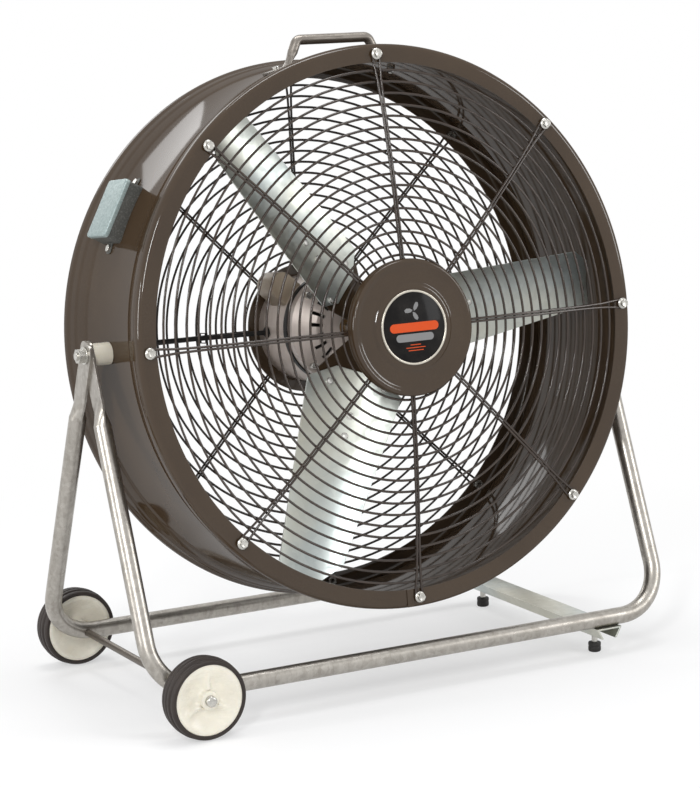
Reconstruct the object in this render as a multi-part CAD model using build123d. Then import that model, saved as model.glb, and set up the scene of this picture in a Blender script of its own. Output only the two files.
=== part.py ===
"""Drum fan on a wheeled tilt stand, as separate pieces in one frame.

Millimetres. The origin is on the floor under the middle of the drum, -Y is the front that blows,
+X is to the right seen from the front and +Z is up. Pieces that the drum carries are drawn about
the drum's own axis, along Y, and are then tilted and lifted by on_drum().
"""

import os
from math import atan2, cos, degrees, pi, radians, sin, sqrt

from build123d import *

# Stand
PIVOT_HEIGHT = 446.5
TUBE_RADIUS = 11.1
TUBE_WALL = 1.6
FLAT_WIDTH = 31.0
FLAT_THICKNESS = 3.2
FLAT_ABOVE_PIVOT = 17.0
FLAT_BELOW_PIVOT = 60.0
FLAT_TAPER = 30.0
FLAT_CORNER = 11.5
RIM_TO_STAND = 14.0
STAND_HALF_DEPTH = 164.0
TUBE_BEND_RADIUS = 65.0
WHEEL_RADIUS = 50.8
WHEEL_WIDTH = 34.0
WHEEL_TO_TUBE = 2.9
TYRE_THICKNESS = 6.8
TYRE_INSET = 1.0
TYRE_CROWN = 3.0
TYRE_EDGE = 6.0
HUB_INSET = 2.0
HUB_DISH = 6.0
HUB_RIM = 4.0
HUB_BOSS_RADIUS = 11.0
HUB_BOSS_FLARE = 4.0
HUB_RIB_LENGTH = 20.0
HUB_RIB_WIDTH = 3.0
HUB_RIB_RISE = 3.5
HUB_RIB_COUNT = 3
AXLE_RADIUS = 4.76
AXLE_INSET = 50.5
AXLE_END = 5.0
AXLE_CAP_RADIUS = 7.0
AXLE_CAP_LENGTH = 7.0
AXLE_CAP_SHEET = 1.8
AXLE_WASHER_RADIUS = 9.0
CHANNEL_INSET = 91.2
CHANNEL_WIDTH = 39.0
CHANNEL_DEPTH = 14.5
CHANNEL_OVERHANG = 11.0
CHANNEL_SHEET = 2.0
CHANNEL_LEAN = 34.0
CHANNEL_NOTCH = 18.0
FOOT_RADIUS = 8.5
FOOT_HEIGHT = 13.0
FOOT_INSET = 24.0
FOOT_STUD_RADIUS = 4.0
FOOT_STUD_END = 2.0
FOOT_NUT_HEX = 6.3
FOOT_NUT_HEIGHT = 6.0

# Drum
DRUM_TILT = 7.0
DRUM_LENGTH = 236.0
RIM_RADIUS = 356.0
RIM_TO_SHOULDER = 5.0
RIM_TO_WALL = 11.5
LIP_WIDTH = 23.5
DRUM_SHEET = 1.6
WALL_SETBACK = 56.0
SHOULDER_SETBACK = 34.0
RIM_BAND = 16.0
SEAM_TAB_WIDTH = 9.0
SEAM_TAB_SHEET = 1.2
SEAM_TAB_X = -12.5

# Guards
WIRE = 3.2
FIRST_RING_RADIUS = 91.0
LAST_RING_TO_FOOT = 9.0
RING_COUNT = 17
SPOKE_COUNT = 8
RIM_TO_GUARD_BOLT = 13.0
SPOKE_HUB_RADIUS = 78.0
SPOKE_HUB_SPREAD = 4.8
SPOKE_LOOP_SPREAD = 10.4
SPOKE_BLANK_HALF_WIDTH = 12.0
FRONT_GUARD_RISE = 24.4
REAR_GUARD_RISE = 12.4
DOME_FOOT_GAP = 0.5
DOME_FLAT_RADIUS = 88.0
WELD = 0.2
SMALL_RING_SIDES = 24
LARGE_RING_SIDES = 32
SMALL_RING_LIMIT = 180.0
FRONT_PLATE_RADIUS = 84.0
FRONT_PLATE_SHEET = 1.6
MOTOR_PLATE_RADIUS = 86.0
MOTOR_PLATE_SHEET = 2.5
COVER_RADIUS = 86.0
COVER_HEIGHT = 14.4
COVER_SHEET = 1.6
COVER_ROUND = 3.5
COVER_DISH_DEPTH = 3.0
COVER_DISH_OUTER = 76.0
COVER_DISH_INNER = 56.0
MEDALLION_RADIUS = 47.0
MEDALLION_THICKNESS = 2.0
MEDALLION_RIM = 2.5
MEDALLION_RECESS = 0.8

# Fasteners: shank radius, across-flats half width and head or nut height
M6 = 3.0
M6_HEX = 5.8
M6_NUT = 5.0
GUARD_BOLT_HEX = 6.5
GUARD_BOLT_HEAD = 6.5
GUARD_BOLT_REACH = 11.0
COVER_SCREW_HEAD_RADIUS = 7.0
COVER_SCREW_HEAD = 2.0
M5 = 2.5
M5_HEX = 4.6
M5_HEAD = 3.5
M5_NUT = 5.0
M5_REACH = 8.0
M10 = 5.0
M10_HEX = 8.5
M10_HEAD = 7.0
M10_NUT = 8.4
M10_END = 13.0
HOLE_CLEARANCE = 0.2
RUNNING_CLEARANCE = 0.05
SEAT_GAP = 0.2
CUT = 5.0

# Pivots
SPACER_RADIUS = 14.0
PIVOT_WASHER_RADIUS = 11.0
PIVOT_WASHER_SHEET = 2.0

# Motor
MOTOR_RADIUS = 72.0
MOTOR_SHEET = 2.0
MOTOR_FRONT = 50.0
MOTOR_REAR = 112.0
BELL_RADIUS = 71.0
BELL_SHEET = 3.0
BELL_FACE_RADIUS = 45.0
FRONT_BELL_FACE = 14.0
FRONT_BELL_RIM = 46.0
FRONT_BELL_SHOULDER = 34.0
BOSS_RADIUS = 16.0
BEARING_RADIUS = 11.0
BEARING_LENGTH = 13.0
SHAFT_RADIUS = 6.35
STATOR_RADIUS = 70.0
STATOR_FLAT = 59.5
STATOR_REAR = 92.0
AIR_GAP = 0.5
ROTOR_RADIUS = 41.5
MOTOR_BOLT_RADIUS = 64.5
MOTOR_BOLT_COUNT = 4
MOTOR_BOLT_START = 45.0
MOTOR_BOLT_HEAD = 8.0
MOTOR_BOLT_SUNK = 10.0
MOTOR_BOLT_END = 6.0
MOTOR_NUT = 4.0
VENT_COUNT = 20
VENT_START = 9.0
VENT_RADIUS = 43.0
VENT_LENGTH = 17.0
VENT_WIDTH = 4.5
CAPACITOR_RADIUS = 16.0
CAPACITOR_ANGLE = 137.0
CAPACITOR_FRONT = 62.0
CAPACITOR_REAR = 98.0
COVER_GAP = 0.8
CAPACITOR_COVER_SHEET = 1.2

# Fan: the outlines are (along the blade, across it), drawn seen from the front
BLADE_ANGLES = (126.5, 6.5, -113.5)
BLADE_TIP_GAP = 12.9
BLADE_SHEET = 2.0
BLADE_CAMBER = 9.0
BLADE_ROOT_RADIUS = 75.0
BLADE_INNER_END = 60.0
BLADE_NECK = 92.0
BLADE_NECK_LOW = -26.0
BLADE_NECK_HIGH = 22.0
BLADE_HALF_CHORD = 70.0
TIP_CLIP_LENGTH = 27.0
TIP_CLIP_LOW = 10.7
TIP_CLIP_HIGH = 40.5
TIP_OVERRUN = 15.0
ROOT_TRAILING = (-58.5, -30.0)
ROOT_LEADING = (50.0, -90.0)
TIP_TRAILING = (-37.4, -60.0)
TIP_LEADING = (37.4, -83.0)
ARM_SHEET = 3.0
ARM_REACH = 158.0
ARM_START = 18.0
ARM_START_HALF = 16.0
ARM_LOW_EDGE = ((68.0, -46.0), (92.0, -44.0), (158.0, -9.0))
ARM_HIGH_EDGE = ((158.0, 13.0), (92.0, 44.0), (66.0, 42.0))
HUB_RADIUS = 22.0
HUB_FRONT = -84.0
HUB_REAR = -44.0
COLLAR_RADIUS = 30.0
COLLAR_FRONT = -68.0
COLLAR_REAR = -46.0
RIVET_RADIUS = 2.4
RIVET_HEAD_RADIUS = 4.6
RIVET_HEAD = 1.8
RIVET_TAIL_RADIUS = 3.8
RIVET_TAIL = 1.6
RIVET_CLEARANCE = 0.25
RIVET_PLACES = ((145.0, 3.0), (118.0, 3.0), (82.0, -30.0), (73.0, 31.0))
SET_SCREW_RADIUS = 3.0
SET_SCREW_ANGLE = 66.5
SET_SCREW_SETBACK = 8.0

# Motor lead: corners past the motor are (gap to the drum's wall, angle, setback from its end)
LEAD_RADIUS = 3.2
LEAD_Y = 101.0
LEAD_INSIDE_MOTOR = 8.0
LEAD_STRAIGHT = 28.0
LEAD_TO_SPOKE = 78.0
LEAD_WALL_ROUTE = (
    (44.885, 179.423, 5.0),
    (10.055, 173.964, 15.0),
    (9.870, 165.212, 46.0),
    (16.310, 155.004, 80.0),
)
LEAD_HOLE_Y = 24.0
LEAD_LAST_CORNER = 19.0
LEAD_IN_BOX = 10.0
GROMMET_WALL = 2.0
GROMMET_FLANGE = 4.0
GROMMET_HALF_LENGTH = 4.0
GROMMET_FLANGE_SHEET = 2.2
TIE_RING_STEPS = 4.5
TIE_WIDTH = 4.0
TIE_SHEET = 1.0
TIE_HALF_SPAN = 5.9
TIE_FLOOR_SETBACK = 5.1

# Wiring box
BOX_ANGLE = 150.75
BOX_LENGTH = 78.0
BOX_FRONT = -5.0
BOX_REAR = 52.0
BOX_HEIGHT = 22.5
BOX_SIDE_DEPTH = 40.0
BOX_SHEET = 1.4
BOX_EAR = 12.0
BOX_SCREW_HEAD = 3.0

# Handle
HANDLE_RADIUS = 6.5
HANDLE_RISE = 17.0
HANDLE_Y = -10.0
HANDLE_HALF_BAR = 52.0
HANDLE_BEND_RADIUS = 9.0
HANDLE_LEG_DROP = 15.0
HANDLE_LEG_SPREAD = 7.0
HANDLE_FOOT_X = 84.0
HANDLE_FOOT_LENGTH = 32.0
HANDLE_FOOT_WIDTH = 18.0
HANDLE_FOOT_THICKNESS = 3.0

# Worked out
HALF_LENGTH = DRUM_LENGTH / 2
SHOULDER_RADIUS = RIM_RADIUS - RIM_TO_SHOULDER
WALL_RADIUS = RIM_RADIUS - RIM_TO_WALL
WALL_INNER = WALL_RADIUS - DRUM_SHEET
LIP_INNER_RADIUS = RIM_RADIUS - LIP_WIDTH
GUARD_BOLT_RADIUS = RIM_RADIUS - RIM_TO_GUARD_BOLT
DOME_FOOT_RADIUS = LIP_INNER_RADIUS - DOME_FOOT_GAP
RING_PITCH = (DOME_FOOT_RADIUS - LAST_RING_TO_FOOT - FIRST_RING_RADIUS) / (RING_COUNT - 1)
BLADE_TIP_RADIUS = WALL_INNER - BLADE_TIP_GAP
HANDLE_BAR_RADIUS = RIM_RADIUS + HANDLE_RISE
BOX_LID_RADIUS = WALL_RADIUS + BOX_HEIGHT
FLAT_INNER_FACE = RIM_RADIUS + RIM_TO_STAND
FLAT_OUTER_FACE = FLAT_INNER_FACE + 2 * FLAT_THICKNESS
STAND_HALF_SPAN = FLAT_INNER_FACE + FLAT_THICKNESS
TYRE_BORE_RADIUS = WHEEL_RADIUS - TYRE_THICKNESS
WHEEL_INNER_FACE = STAND_HALF_DEPTH + TUBE_RADIUS + WHEEL_TO_TUBE
WHEEL_OUTER_FACE = WHEEL_INNER_FACE + WHEEL_WIDTH
AXLE_X = AXLE_INSET - STAND_HALF_SPAN
RUN_HEIGHT = WHEEL_RADIUS
CHANNEL_X = STAND_HALF_SPAN - CHANNEL_INSET
CHANNEL_TOP = RUN_HEIGHT - TUBE_RADIUS
CHANNEL_HALF_LENGTH = STAND_HALF_DEPTH + CHANNEL_OVERHANG
FOOT_Y = STAND_HALF_DEPTH - FOOT_INSET


def on_drum(shape):
    """Tilt a drum-borne piece, drawn about the origin, and lift it to the pivots."""
    return Pos(0, 0, PIVOT_HEIGHT) * Rot(-DRUM_TILT, 0, 0) * shape


def to_front(shape):
    """Turn a piece drawn for the drum's rear end (+Y) to its front end."""
    return Rot(180, 0, 0) * shape


def turned(points):
    """Solid of revolution about Y from (radius, y) corners."""
    outline = make_face(Polyline(*points, close=True))
    return revolve(outline, Axis.Y)


def rod(radius, start, end):
    """Round bar along Y, centred on the drum's axis."""
    return Pos(0, (start + end) / 2, 0) * Rot(90, 0, 0) * Cylinder(radius, abs(end - start))


def rod_x(radius, start, end):
    """Round bar along X."""
    return Pos((start + end) / 2, 0, 0) * Rot(0, 90, 0) * Cylinder(radius, abs(end - start))


def hex_bar(half_width, start, end):
    """Hexagonal bar along Y."""
    hexagon = RegularPolygon(half_width, 6, major_radius=False)
    return extrude(Plane.XZ.offset(-end) * hexagon, abs(end - start))


def at_angle(shape, angle):
    """Turn a piece drawn on +X about the drum's axis, +X towards +Z."""
    return Rot(0, -angle, 0) * shape


def spread(shape, radius, count, start=0.0):
    """Copies of a piece drawn on the axis, on a circle round it."""
    step = 360 / count
    return [at_angle(Pos(radius, 0, 0) * shape, start + index * step) for index in range(count)]


def group(shapes):
    """Separate solids that share one node."""
    return Compound(children=[Solid(s.wrapped) for shape in shapes for s in shape.solids()])


# Stand


def stand_tube(side):
    """Bent tube with a flattened, drilled end at each pivot; side is -1 in front and 1 behind."""
    drop = PIVOT_HEIGHT - RUN_HEIGHT
    leg = sqrt(drop**2 + STAND_HALF_DEPTH**2)
    shift = -side * FLAT_THICKNESS / 2
    round_end = FLAT_BELOW_PIVOT + FLAT_TAPER
    path = FilletPolyline(
        (-STAND_HALF_SPAN, 0, -round_end),
        (-STAND_HALF_SPAN, 0, -leg),
        (STAND_HALF_SPAN, 0, -leg),
        (STAND_HALF_SPAN, 0, -round_end),
        radius=TUBE_BEND_RADIUS,
    )
    start = Plane(origin=path @ 0, z_dir=path % 0)
    tube = sweep(start * Circle(TUBE_RADIUS), path)
    tube -= sweep(start * Circle(TUBE_RADIUS - TUBE_WALL), path)
    flat_section = Rectangle(FLAT_THICKNESS, FLAT_WIDTH)
    for end in (-STAND_HALF_SPAN, STAND_HALF_SPAN):
        round_face = Pos(end, 0, -round_end) * Circle(TUBE_RADIUS)
        tube += loft([round_face, Pos(end, 0, -FLAT_BELOW_PIVOT) * flat_section])
        tube += flat_end(end)
    lean = degrees(atan2(side * STAND_HALF_DEPTH, drop))
    return Pos(shift, 0, PIVOT_HEIGHT) * Rot(lean, 0, 0) * tube


def flat_end(centre):
    """Flattened end of a stand tube, rounded on top, with the hole for the pivot bolt."""
    height = FLAT_ABOVE_PIVOT + FLAT_BELOW_PIVOT
    plate = Pos(centre, 0, FLAT_ABOVE_PIVOT - height / 2) * Box(FLAT_THICKNESS, FLAT_WIDTH, height)
    corners = plate.edges().filter_by(Axis.X).group_by(Axis.Z)[-1]
    plate = fillet(corners, FLAT_CORNER)
    hole = Pos(centre, 0, 0) * rod_x(M10 + RUNNING_CLEARANCE, -FLAT_THICKNESS, FLAT_THICKNESS)
    return plate - hole


def stand_tubes():
    """Front and rear tube, each drilled for the axle."""
    axle_hole = on_axle(rod(AXLE_RADIUS + HOLE_CLEARANCE, -WHEEL_OUTER_FACE, WHEEL_OUTER_FACE))
    return stand_tube(-1) - axle_hole, stand_tube(1) - axle_hole


def cross_channel():
    """Open channel under the tubes at the feet end, its flanges leaning inwards."""
    half = CHANNEL_WIDTH / 2
    inset = CHANNEL_DEPTH * sin(radians(CHANNEL_LEAN))
    bottom = CHANNEL_TOP - CHANNEL_DEPTH
    outer = [(-half, CHANNEL_TOP), (half, CHANNEL_TOP), (half - inset, bottom), (inset - half, bottom)]
    wall = CHANNEL_SHEET / cos(radians(CHANNEL_LEAN))
    under = CHANNEL_TOP - CHANNEL_SHEET
    slope = inset / CHANNEL_DEPTH
    top_half = half - slope * CHANNEL_SHEET - wall
    low_half = half - inset - wall
    inner = [(-top_half, under), (top_half, under), (low_half, bottom), (-low_half, bottom)]
    section = make_face(Polyline(*outer, close=True)) - make_face(Polyline(*inner, close=True))
    channel = extrude(Plane.XZ.offset(-CHANNEL_HALF_LENGTH) * section, 2 * CHANNEL_HALF_LENGTH)
    notch = Box(CHANNEL_WIDTH, CHANNEL_NOTCH, CHANNEL_DEPTH)
    notch_y = CHANNEL_HALF_LENGTH - CHANNEL_NOTCH / 2
    channel -= Pos(0, notch_y, under - CHANNEL_DEPTH / 2) * notch
    stud_hole = Cylinder(FOOT_STUD_RADIUS + HOLE_CLEARANCE, 4 * CHANNEL_SHEET)
    for y in (-FOOT_Y, FOOT_Y):
        channel -= Pos(0, y, CHANNEL_TOP) * stud_hole
    return Pos(CHANNEL_X, 0, 0) * channel


def rubber_feet():
    foot = Pos(0, 0, FOOT_HEIGHT / 2) * Cylinder(FOOT_RADIUS, FOOT_HEIGHT)
    socket = Pos(0, 0, FOOT_HEIGHT) * Cylinder(FOOT_STUD_RADIUS, FOOT_HEIGHT)
    return group([Pos(CHANNEL_X, y, 0) * (foot - socket) for y in (-FOOT_Y, FOOT_Y)])


def foot_studs():
    """Stud of each foot, with a nut above and below the channel's web."""
    low = FOOT_HEIGHT / 2
    high = CHANNEL_TOP + FOOT_NUT_HEIGHT + FOOT_STUD_END
    stud = Pos(0, 0, (low + high) / 2) * Cylinder(FOOT_STUD_RADIUS, high - low)
    nut = extrude(RegularPolygon(FOOT_NUT_HEX, 6, major_radius=False), FOOT_NUT_HEIGHT)
    stud += Pos(0, 0, CHANNEL_TOP) * nut
    stud += Pos(0, 0, CHANNEL_TOP - CHANNEL_SHEET - FOOT_NUT_HEIGHT) * nut
    return group([Pos(CHANNEL_X, y, 0) * stud for y in (-FOOT_Y, FOOT_Y)])


def on_axle(shape):
    """Move a piece drawn about the Y axis to the wheels' axle."""
    return Pos(AXLE_X, 0, RUN_HEIGHT) * shape


def axle():
    reach = WHEEL_OUTER_FACE + AXLE_END
    return on_axle(rod(AXLE_RADIUS, -reach, reach))


def axle_caps():
    """Push-on caps that keep the wheels on."""
    start = WHEEL_OUTER_FACE + SEAT_GAP
    end = start + AXLE_CAP_LENGTH
    floor = end - AXLE_CAP_SHEET
    cap = turned([
        (AXLE_RADIUS, start), (AXLE_CAP_RADIUS, start), (AXLE_CAP_RADIUS - 1, end - 1),
        (AXLE_CAP_RADIUS - 4, end), (0, end), (0, floor), (AXLE_RADIUS, floor),
    ])
    return group([on_axle(cap), on_axle(to_front(cap))])


def axle_washers():
    start = STAND_HALF_DEPTH + TUBE_RADIUS + SEAT_GAP
    washer = rod(AXLE_WASHER_RADIUS, start, WHEEL_INNER_FACE - SEAT_GAP)
    washer -= rod(AXLE_RADIUS, start - CUT, WHEEL_INNER_FACE + CUT)
    return group([on_axle(washer), on_axle(to_front(washer))])


def tyre():
    """Solid tyre with bevelled shoulders."""
    inner = WHEEL_INNER_FACE + TYRE_INSET
    outer = WHEEL_OUTER_FACE - TYRE_INSET
    side = WHEEL_RADIUS - TYRE_CROWN
    return turned([
        (TYRE_BORE_RADIUS, inner), (side, inner), (WHEEL_RADIUS, inner + TYRE_EDGE),
        (WHEEL_RADIUS, outer - TYRE_EDGE), (side, outer), (TYRE_BORE_RADIUS, outer),
    ])


def wheel_hub():
    """Plastic wheel centre with a shallow dish, three soft ribs and a boss on each face."""
    bore = AXLE_RADIUS + RUNNING_CLEARANCE
    middle = (WHEEL_INNER_FACE + WHEEL_OUTER_FACE) / 2
    rim_y = WHEEL_WIDTH / 2 - HUB_INSET
    floor_y = rim_y - HUB_DISH
    half = [
        (bore, WHEEL_WIDTH / 2), (HUB_BOSS_RADIUS, WHEEL_WIDTH / 2),
        (HUB_BOSS_RADIUS + HUB_BOSS_FLARE, floor_y), (TYRE_BORE_RADIUS - HUB_RIM, rim_y),
        (TYRE_BORE_RADIUS, rim_y),
    ]
    hub = turned(half + [(radius, -y) for radius, y in reversed(half)])
    rib_length = HUB_BOSS_FLARE + HUB_RIB_LENGTH
    rib_middle = HUB_BOSS_RADIUS + rib_length / 2
    rib = Box(rib_length, 2 * (floor_y + HUB_RIB_RISE), HUB_RIB_WIDTH)
    for index in range(HUB_RIB_COUNT):
        hub += at_angle(Pos(rib_middle, 0, 0) * rib, 90 + 360 * index / HUB_RIB_COUNT)
    return Pos(0, middle, 0) * hub


# Drum


def drum_shell():
    """Rolled drum: plain middle, a shoulder near each end, and a flat lip turned in at each rim."""
    rim_y = HALF_LENGTH - RIM_BAND
    shoulder_y = HALF_LENGTH - SHOULDER_SETBACK
    wall_y = HALF_LENGTH - WALL_SETBACK
    outer = [
        (LIP_INNER_RADIUS, HALF_LENGTH), (RIM_RADIUS, HALF_LENGTH), (RIM_RADIUS, rim_y),
        (SHOULDER_RADIUS, shoulder_y), (WALL_RADIUS, wall_y),
    ]
    inner = [
        (WALL_INNER, wall_y), (SHOULDER_RADIUS - DRUM_SHEET, shoulder_y),
        (RIM_RADIUS - DRUM_SHEET, rim_y), (RIM_RADIUS - DRUM_SHEET, HALF_LENGTH - DRUM_SHEET),
        (LIP_INNER_RADIUS, HALF_LENGTH - DRUM_SHEET),
    ]
    front_outer = [(r, -y) for r, y in reversed(outer)]
    front_inner = [(r, -y) for r, y in reversed(inner)]
    drum = turned(outer + front_outer + front_inner + inner)
    bolt_hole = rod(M6 + HOLE_CLEARANCE, HALF_LENGTH - CUT, HALF_LENGTH + CUT)
    for hole in spread(bolt_hole, GUARD_BOLT_RADIUS, SPOKE_COUNT):
        drum -= hole
        drum -= to_front(hole)
    pivot_hole = wall_hole(M10 + HOLE_CLEARANCE)
    drum -= pivot_hole
    drum -= at_angle(pivot_hole, 180)
    lead_hole = Pos(0, LEAD_HOLE_Y, 0) * wall_hole(LEAD_RADIUS + GROMMET_WALL)
    drum -= at_angle(lead_hole, BOX_ANGLE)
    screw_hole = wall_hole(M5 + HOLE_CLEARANCE)
    for hole in handle_places(screw_hole) + box_ear_places(screw_hole):
        drum -= hole
    return drum


def wall_hole(radius):
    """Cutter on +X for a round hole through the drum's wall."""
    return rod_x(radius, WALL_INNER - CUT, WALL_RADIUS + CUT)


def seam_tab():
    """Folded clip over the rim at the drum's seam, low at the front."""
    tab = Box(SEAM_TAB_WIDTH, SEAM_TAB_SHEET, LIP_WIDTH - 1)
    middle = RIM_RADIUS - LIP_WIDTH / 2 - 1
    return Pos(SEAM_TAB_X, -HALF_LENGTH - SEAM_TAB_SHEET / 2, -middle) * tab


# Guards


def dome_face(radius, rise):
    """Height along Y of a guard's inner wire face at a radius, a shallow dome from a flat foot."""
    if radius >= DOME_FOOT_RADIUS:
        return HALF_LENGTH
    span = DOME_FOOT_RADIUS**2 - DOME_FLAT_RADIUS**2
    return HALF_LENGTH + rise * min(1, (DOME_FOOT_RADIUS**2 - radius**2) / span)


def guard_rings(rise):
    """Round wires of a guard, each a polygon whose corners lie on the spokes."""
    rings = []
    for index in range(RING_COUNT):
        radius = FIRST_RING_RADIUS + index * RING_PITCH
        sides = SMALL_RING_SIDES if radius < SMALL_RING_LIMIT else LARGE_RING_SIDES
        outline = RegularPolygon(radius + WIRE / 2, sides) - RegularPolygon(radius - WIRE / 2, sides)
        top = dome_face(radius, rise) + WELD
        rings.append(extrude(Plane.XZ.offset(-top) * outline, WIRE))
    return group(rings)


def guard_spokes(rise):
    """Hairpin wires: two legs from the hub that meet in a loop round each guard bolt."""
    middle_radius = (DOME_FLAT_RADIUS + DOME_FOOT_RADIUS) / 2
    end_radius = GUARD_BOLT_RADIUS + SPOKE_BLANK_HALF_WIDTH
    radii = [SPOKE_HUB_RADIUS, DOME_FLAT_RADIUS, middle_radius, DOME_FOOT_RADIUS, end_radius]
    low = [(radius, dome_face(radius, rise)) for radius in radii]
    high = [(radius, y + WIRE) for radius, y in low]
    band = make_face([
        Line(low[0], low[1]), ThreePointArc(low[1], low[2], low[3]), Line(low[3], low[4]),
        Line(low[4], high[4]),
        Line(high[4], high[3]), ThreePointArc(high[3], high[2], high[1]), Line(high[1], high[0]),
        Line(high[0], low[0]),
    ])
    wide = extrude(band, SPOKE_BLANK_HALF_WIDTH, both=True)
    outline = hairpin_outline(WIRE / 2) - hairpin_outline(-WIRE / 2)
    legs = extrude(Plane.XZ.offset(-2 * HALF_LENGTH) * outline, 2 * HALF_LENGTH)
    return group([at_angle(legs & wide, 360 * index / SPOKE_COUNT) for index in range(SPOKE_COUNT)])


def hairpin_outline(offset):
    """Outline of a hairpin's centre line, moved out by offset."""
    loop = SPOKE_LOOP_SPREAD / 2 + offset
    hub = SPOKE_HUB_SPREAD / 2 + offset
    start = SPOKE_HUB_RADIUS - 1
    return make_face([
        Line((start, -hub), (GUARD_BOLT_RADIUS, -loop)),
        RadiusArc((GUARD_BOLT_RADIUS, -loop), (GUARD_BOLT_RADIUS, loop), -loop),
        Line((GUARD_BOLT_RADIUS, loop), (start, hub)),
        Line((start, hub), (start, -hub)),
    ])


def guard_bolts():
    """Hexagon head, washer face down on the spoke's loop, and a shank through the lip."""
    seat = HALF_LENGTH + WIRE
    bolt = hex_bar(GUARD_BOLT_HEX, seat, seat + GUARD_BOLT_HEAD)
    bolt += rod(M6, HALF_LENGTH - GUARD_BOLT_REACH, seat)
    return group(spread(bolt, GUARD_BOLT_RADIUS, SPOKE_COUNT))


def guard_nuts():
    """Nuts behind the lip."""
    seat = HALF_LENGTH - DRUM_SHEET
    nut = hex_bar(M6_HEX, seat - M6_NUT, seat) - rod(M6, seat - 2 * M6_NUT, seat + M6_NUT)
    return group(spread(nut, GUARD_BOLT_RADIUS, SPOKE_COUNT))


def front_guard_plate():
    """Round plate that the front guard's spokes end on."""
    top = dome_face(0, FRONT_GUARD_RISE)
    plate = rod(FRONT_PLATE_RADIUS, top - FRONT_PLATE_SHEET, top)
    return plate - rod(M6 + HOLE_CLEARANCE, top - CUT, top + CUT)


def hub_cover():
    """Pressed cover over the guard's middle, with a dished band and a raised centre."""
    back = dome_face(0, FRONT_GUARD_RISE) + WIRE
    front = back + COVER_HEIGHT
    dish = front - COVER_DISH_DEPTH
    inside = dish - COVER_SHEET
    cover = turned([
        (COVER_RADIUS, back), (COVER_RADIUS, dish), (COVER_RADIUS - COVER_ROUND, front),
        (COVER_DISH_OUTER, dish), (COVER_DISH_INNER, dish), (COVER_DISH_INNER - COVER_DISH_DEPTH, front),
        (0, front), (0, inside), (COVER_RADIUS - COVER_SHEET, inside), (COVER_RADIUS - COVER_SHEET, back),
    ])
    return cover - rod(M6 + HOLE_CLEARANCE, back, front + CUT)


def cover_fastener():
    """Low-headed screw under the medallion and its nut behind the guard plate."""
    plate_top = dome_face(0, FRONT_GUARD_RISE)
    plate_back = plate_top - FRONT_PLATE_SHEET
    seat = plate_top + WIRE + COVER_HEIGHT - COVER_DISH_DEPTH - COVER_SHEET
    screw = rod(M6, plate_back - M6_NUT - 1, seat + COVER_DISH_DEPTH)
    screw += rod(COVER_SCREW_HEAD_RADIUS, seat - COVER_SCREW_HEAD, seat)
    nut = hex_bar(M6_HEX, plate_back - M6_NUT, plate_back)
    nut -= rod(M6, plate_back - 2 * M6_NUT, plate_back + M6_NUT)
    return group([screw, nut])


def medallion():
    """Blank round badge plate with a raised rim."""
    back = dome_face(0, FRONT_GUARD_RISE) + WIRE + COVER_HEIGHT
    front = back + MEDALLION_THICKNESS
    rim = MEDALLION_RADIUS - MEDALLION_RIM
    floor = front - MEDALLION_RECESS
    return turned([
        (0, back), (MEDALLION_RADIUS, back), (MEDALLION_RADIUS, front), (rim, front),
        (rim, floor), (0, floor),
    ])


def motor_plate():
    """Heavy plate in the rear guard that carries the motor."""
    top = dome_face(0, REAR_GUARD_RISE)
    plate = rod(MOTOR_PLATE_RADIUS, top - MOTOR_PLATE_SHEET, top)
    for hole in motor_bolt_places(rod(M5 + HOLE_CLEARANCE, top - CUT, top + CUT)):
        plate -= hole
    return plate


# Motor


def plate_front():
    """Height of the motor plate's front face, where the rear bell ends."""
    return dome_face(0, REAR_GUARD_RISE) - MOTOR_PLATE_SHEET


def motor_bolt_places(shape):
    """Copies of a piece drawn on the axis, at the motor's bolts."""
    return spread(shape, MOTOR_BOLT_RADIUS, MOTOR_BOLT_COUNT, MOTOR_BOLT_START)


def motor_shell():
    """Rolled shell round the stator, with the hole that the lead leaves by."""
    shell = rod(MOTOR_RADIUS, MOTOR_FRONT, MOTOR_REAR)
    shell -= rod(MOTOR_RADIUS - MOTOR_SHEET, MOTOR_FRONT - CUT, MOTOR_REAR + CUT)
    lead_hole = rod_x(LEAD_RADIUS + GROMMET_WALL, -MOTOR_RADIUS - CUT, -MOTOR_RADIUS + 2 * CUT)
    return shell - Pos(0, LEAD_Y, 0) * lead_hole


def front_bell():
    """Cast end bell with a bearing boss and slots that let the motor breathe."""
    inner = BELL_RADIUS - BELL_SHEET
    back_face = FRONT_BELL_FACE + BELL_SHEET
    boss_end = FRONT_BELL_FACE + BEARING_LENGTH + 1
    bell = turned([
        (BEARING_RADIUS, FRONT_BELL_FACE), (BELL_FACE_RADIUS, FRONT_BELL_FACE),
        (BELL_RADIUS, FRONT_BELL_SHOULDER), (BELL_RADIUS, FRONT_BELL_RIM), (inner, FRONT_BELL_RIM),
        (inner, FRONT_BELL_SHOULDER + 1), (BELL_FACE_RADIUS - 1, back_face),
        (BOSS_RADIUS, back_face), (BOSS_RADIUS, boss_end), (BEARING_RADIUS, boss_end),
    ])
    slot = Pos(VENT_RADIUS, FRONT_BELL_FACE, 0) * Box(VENT_LENGTH, 2 * BOSS_RADIUS, VENT_WIDTH)
    for index in range(VENT_COUNT):
        bell -= at_angle(slot, VENT_START + 360 * index / VENT_COUNT)
    for hole in motor_bolt_places(rod(M5 + HOLE_CLEARANCE, 0, FRONT_BELL_RIM + CUT)):
        bell -= hole
    return bell


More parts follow.
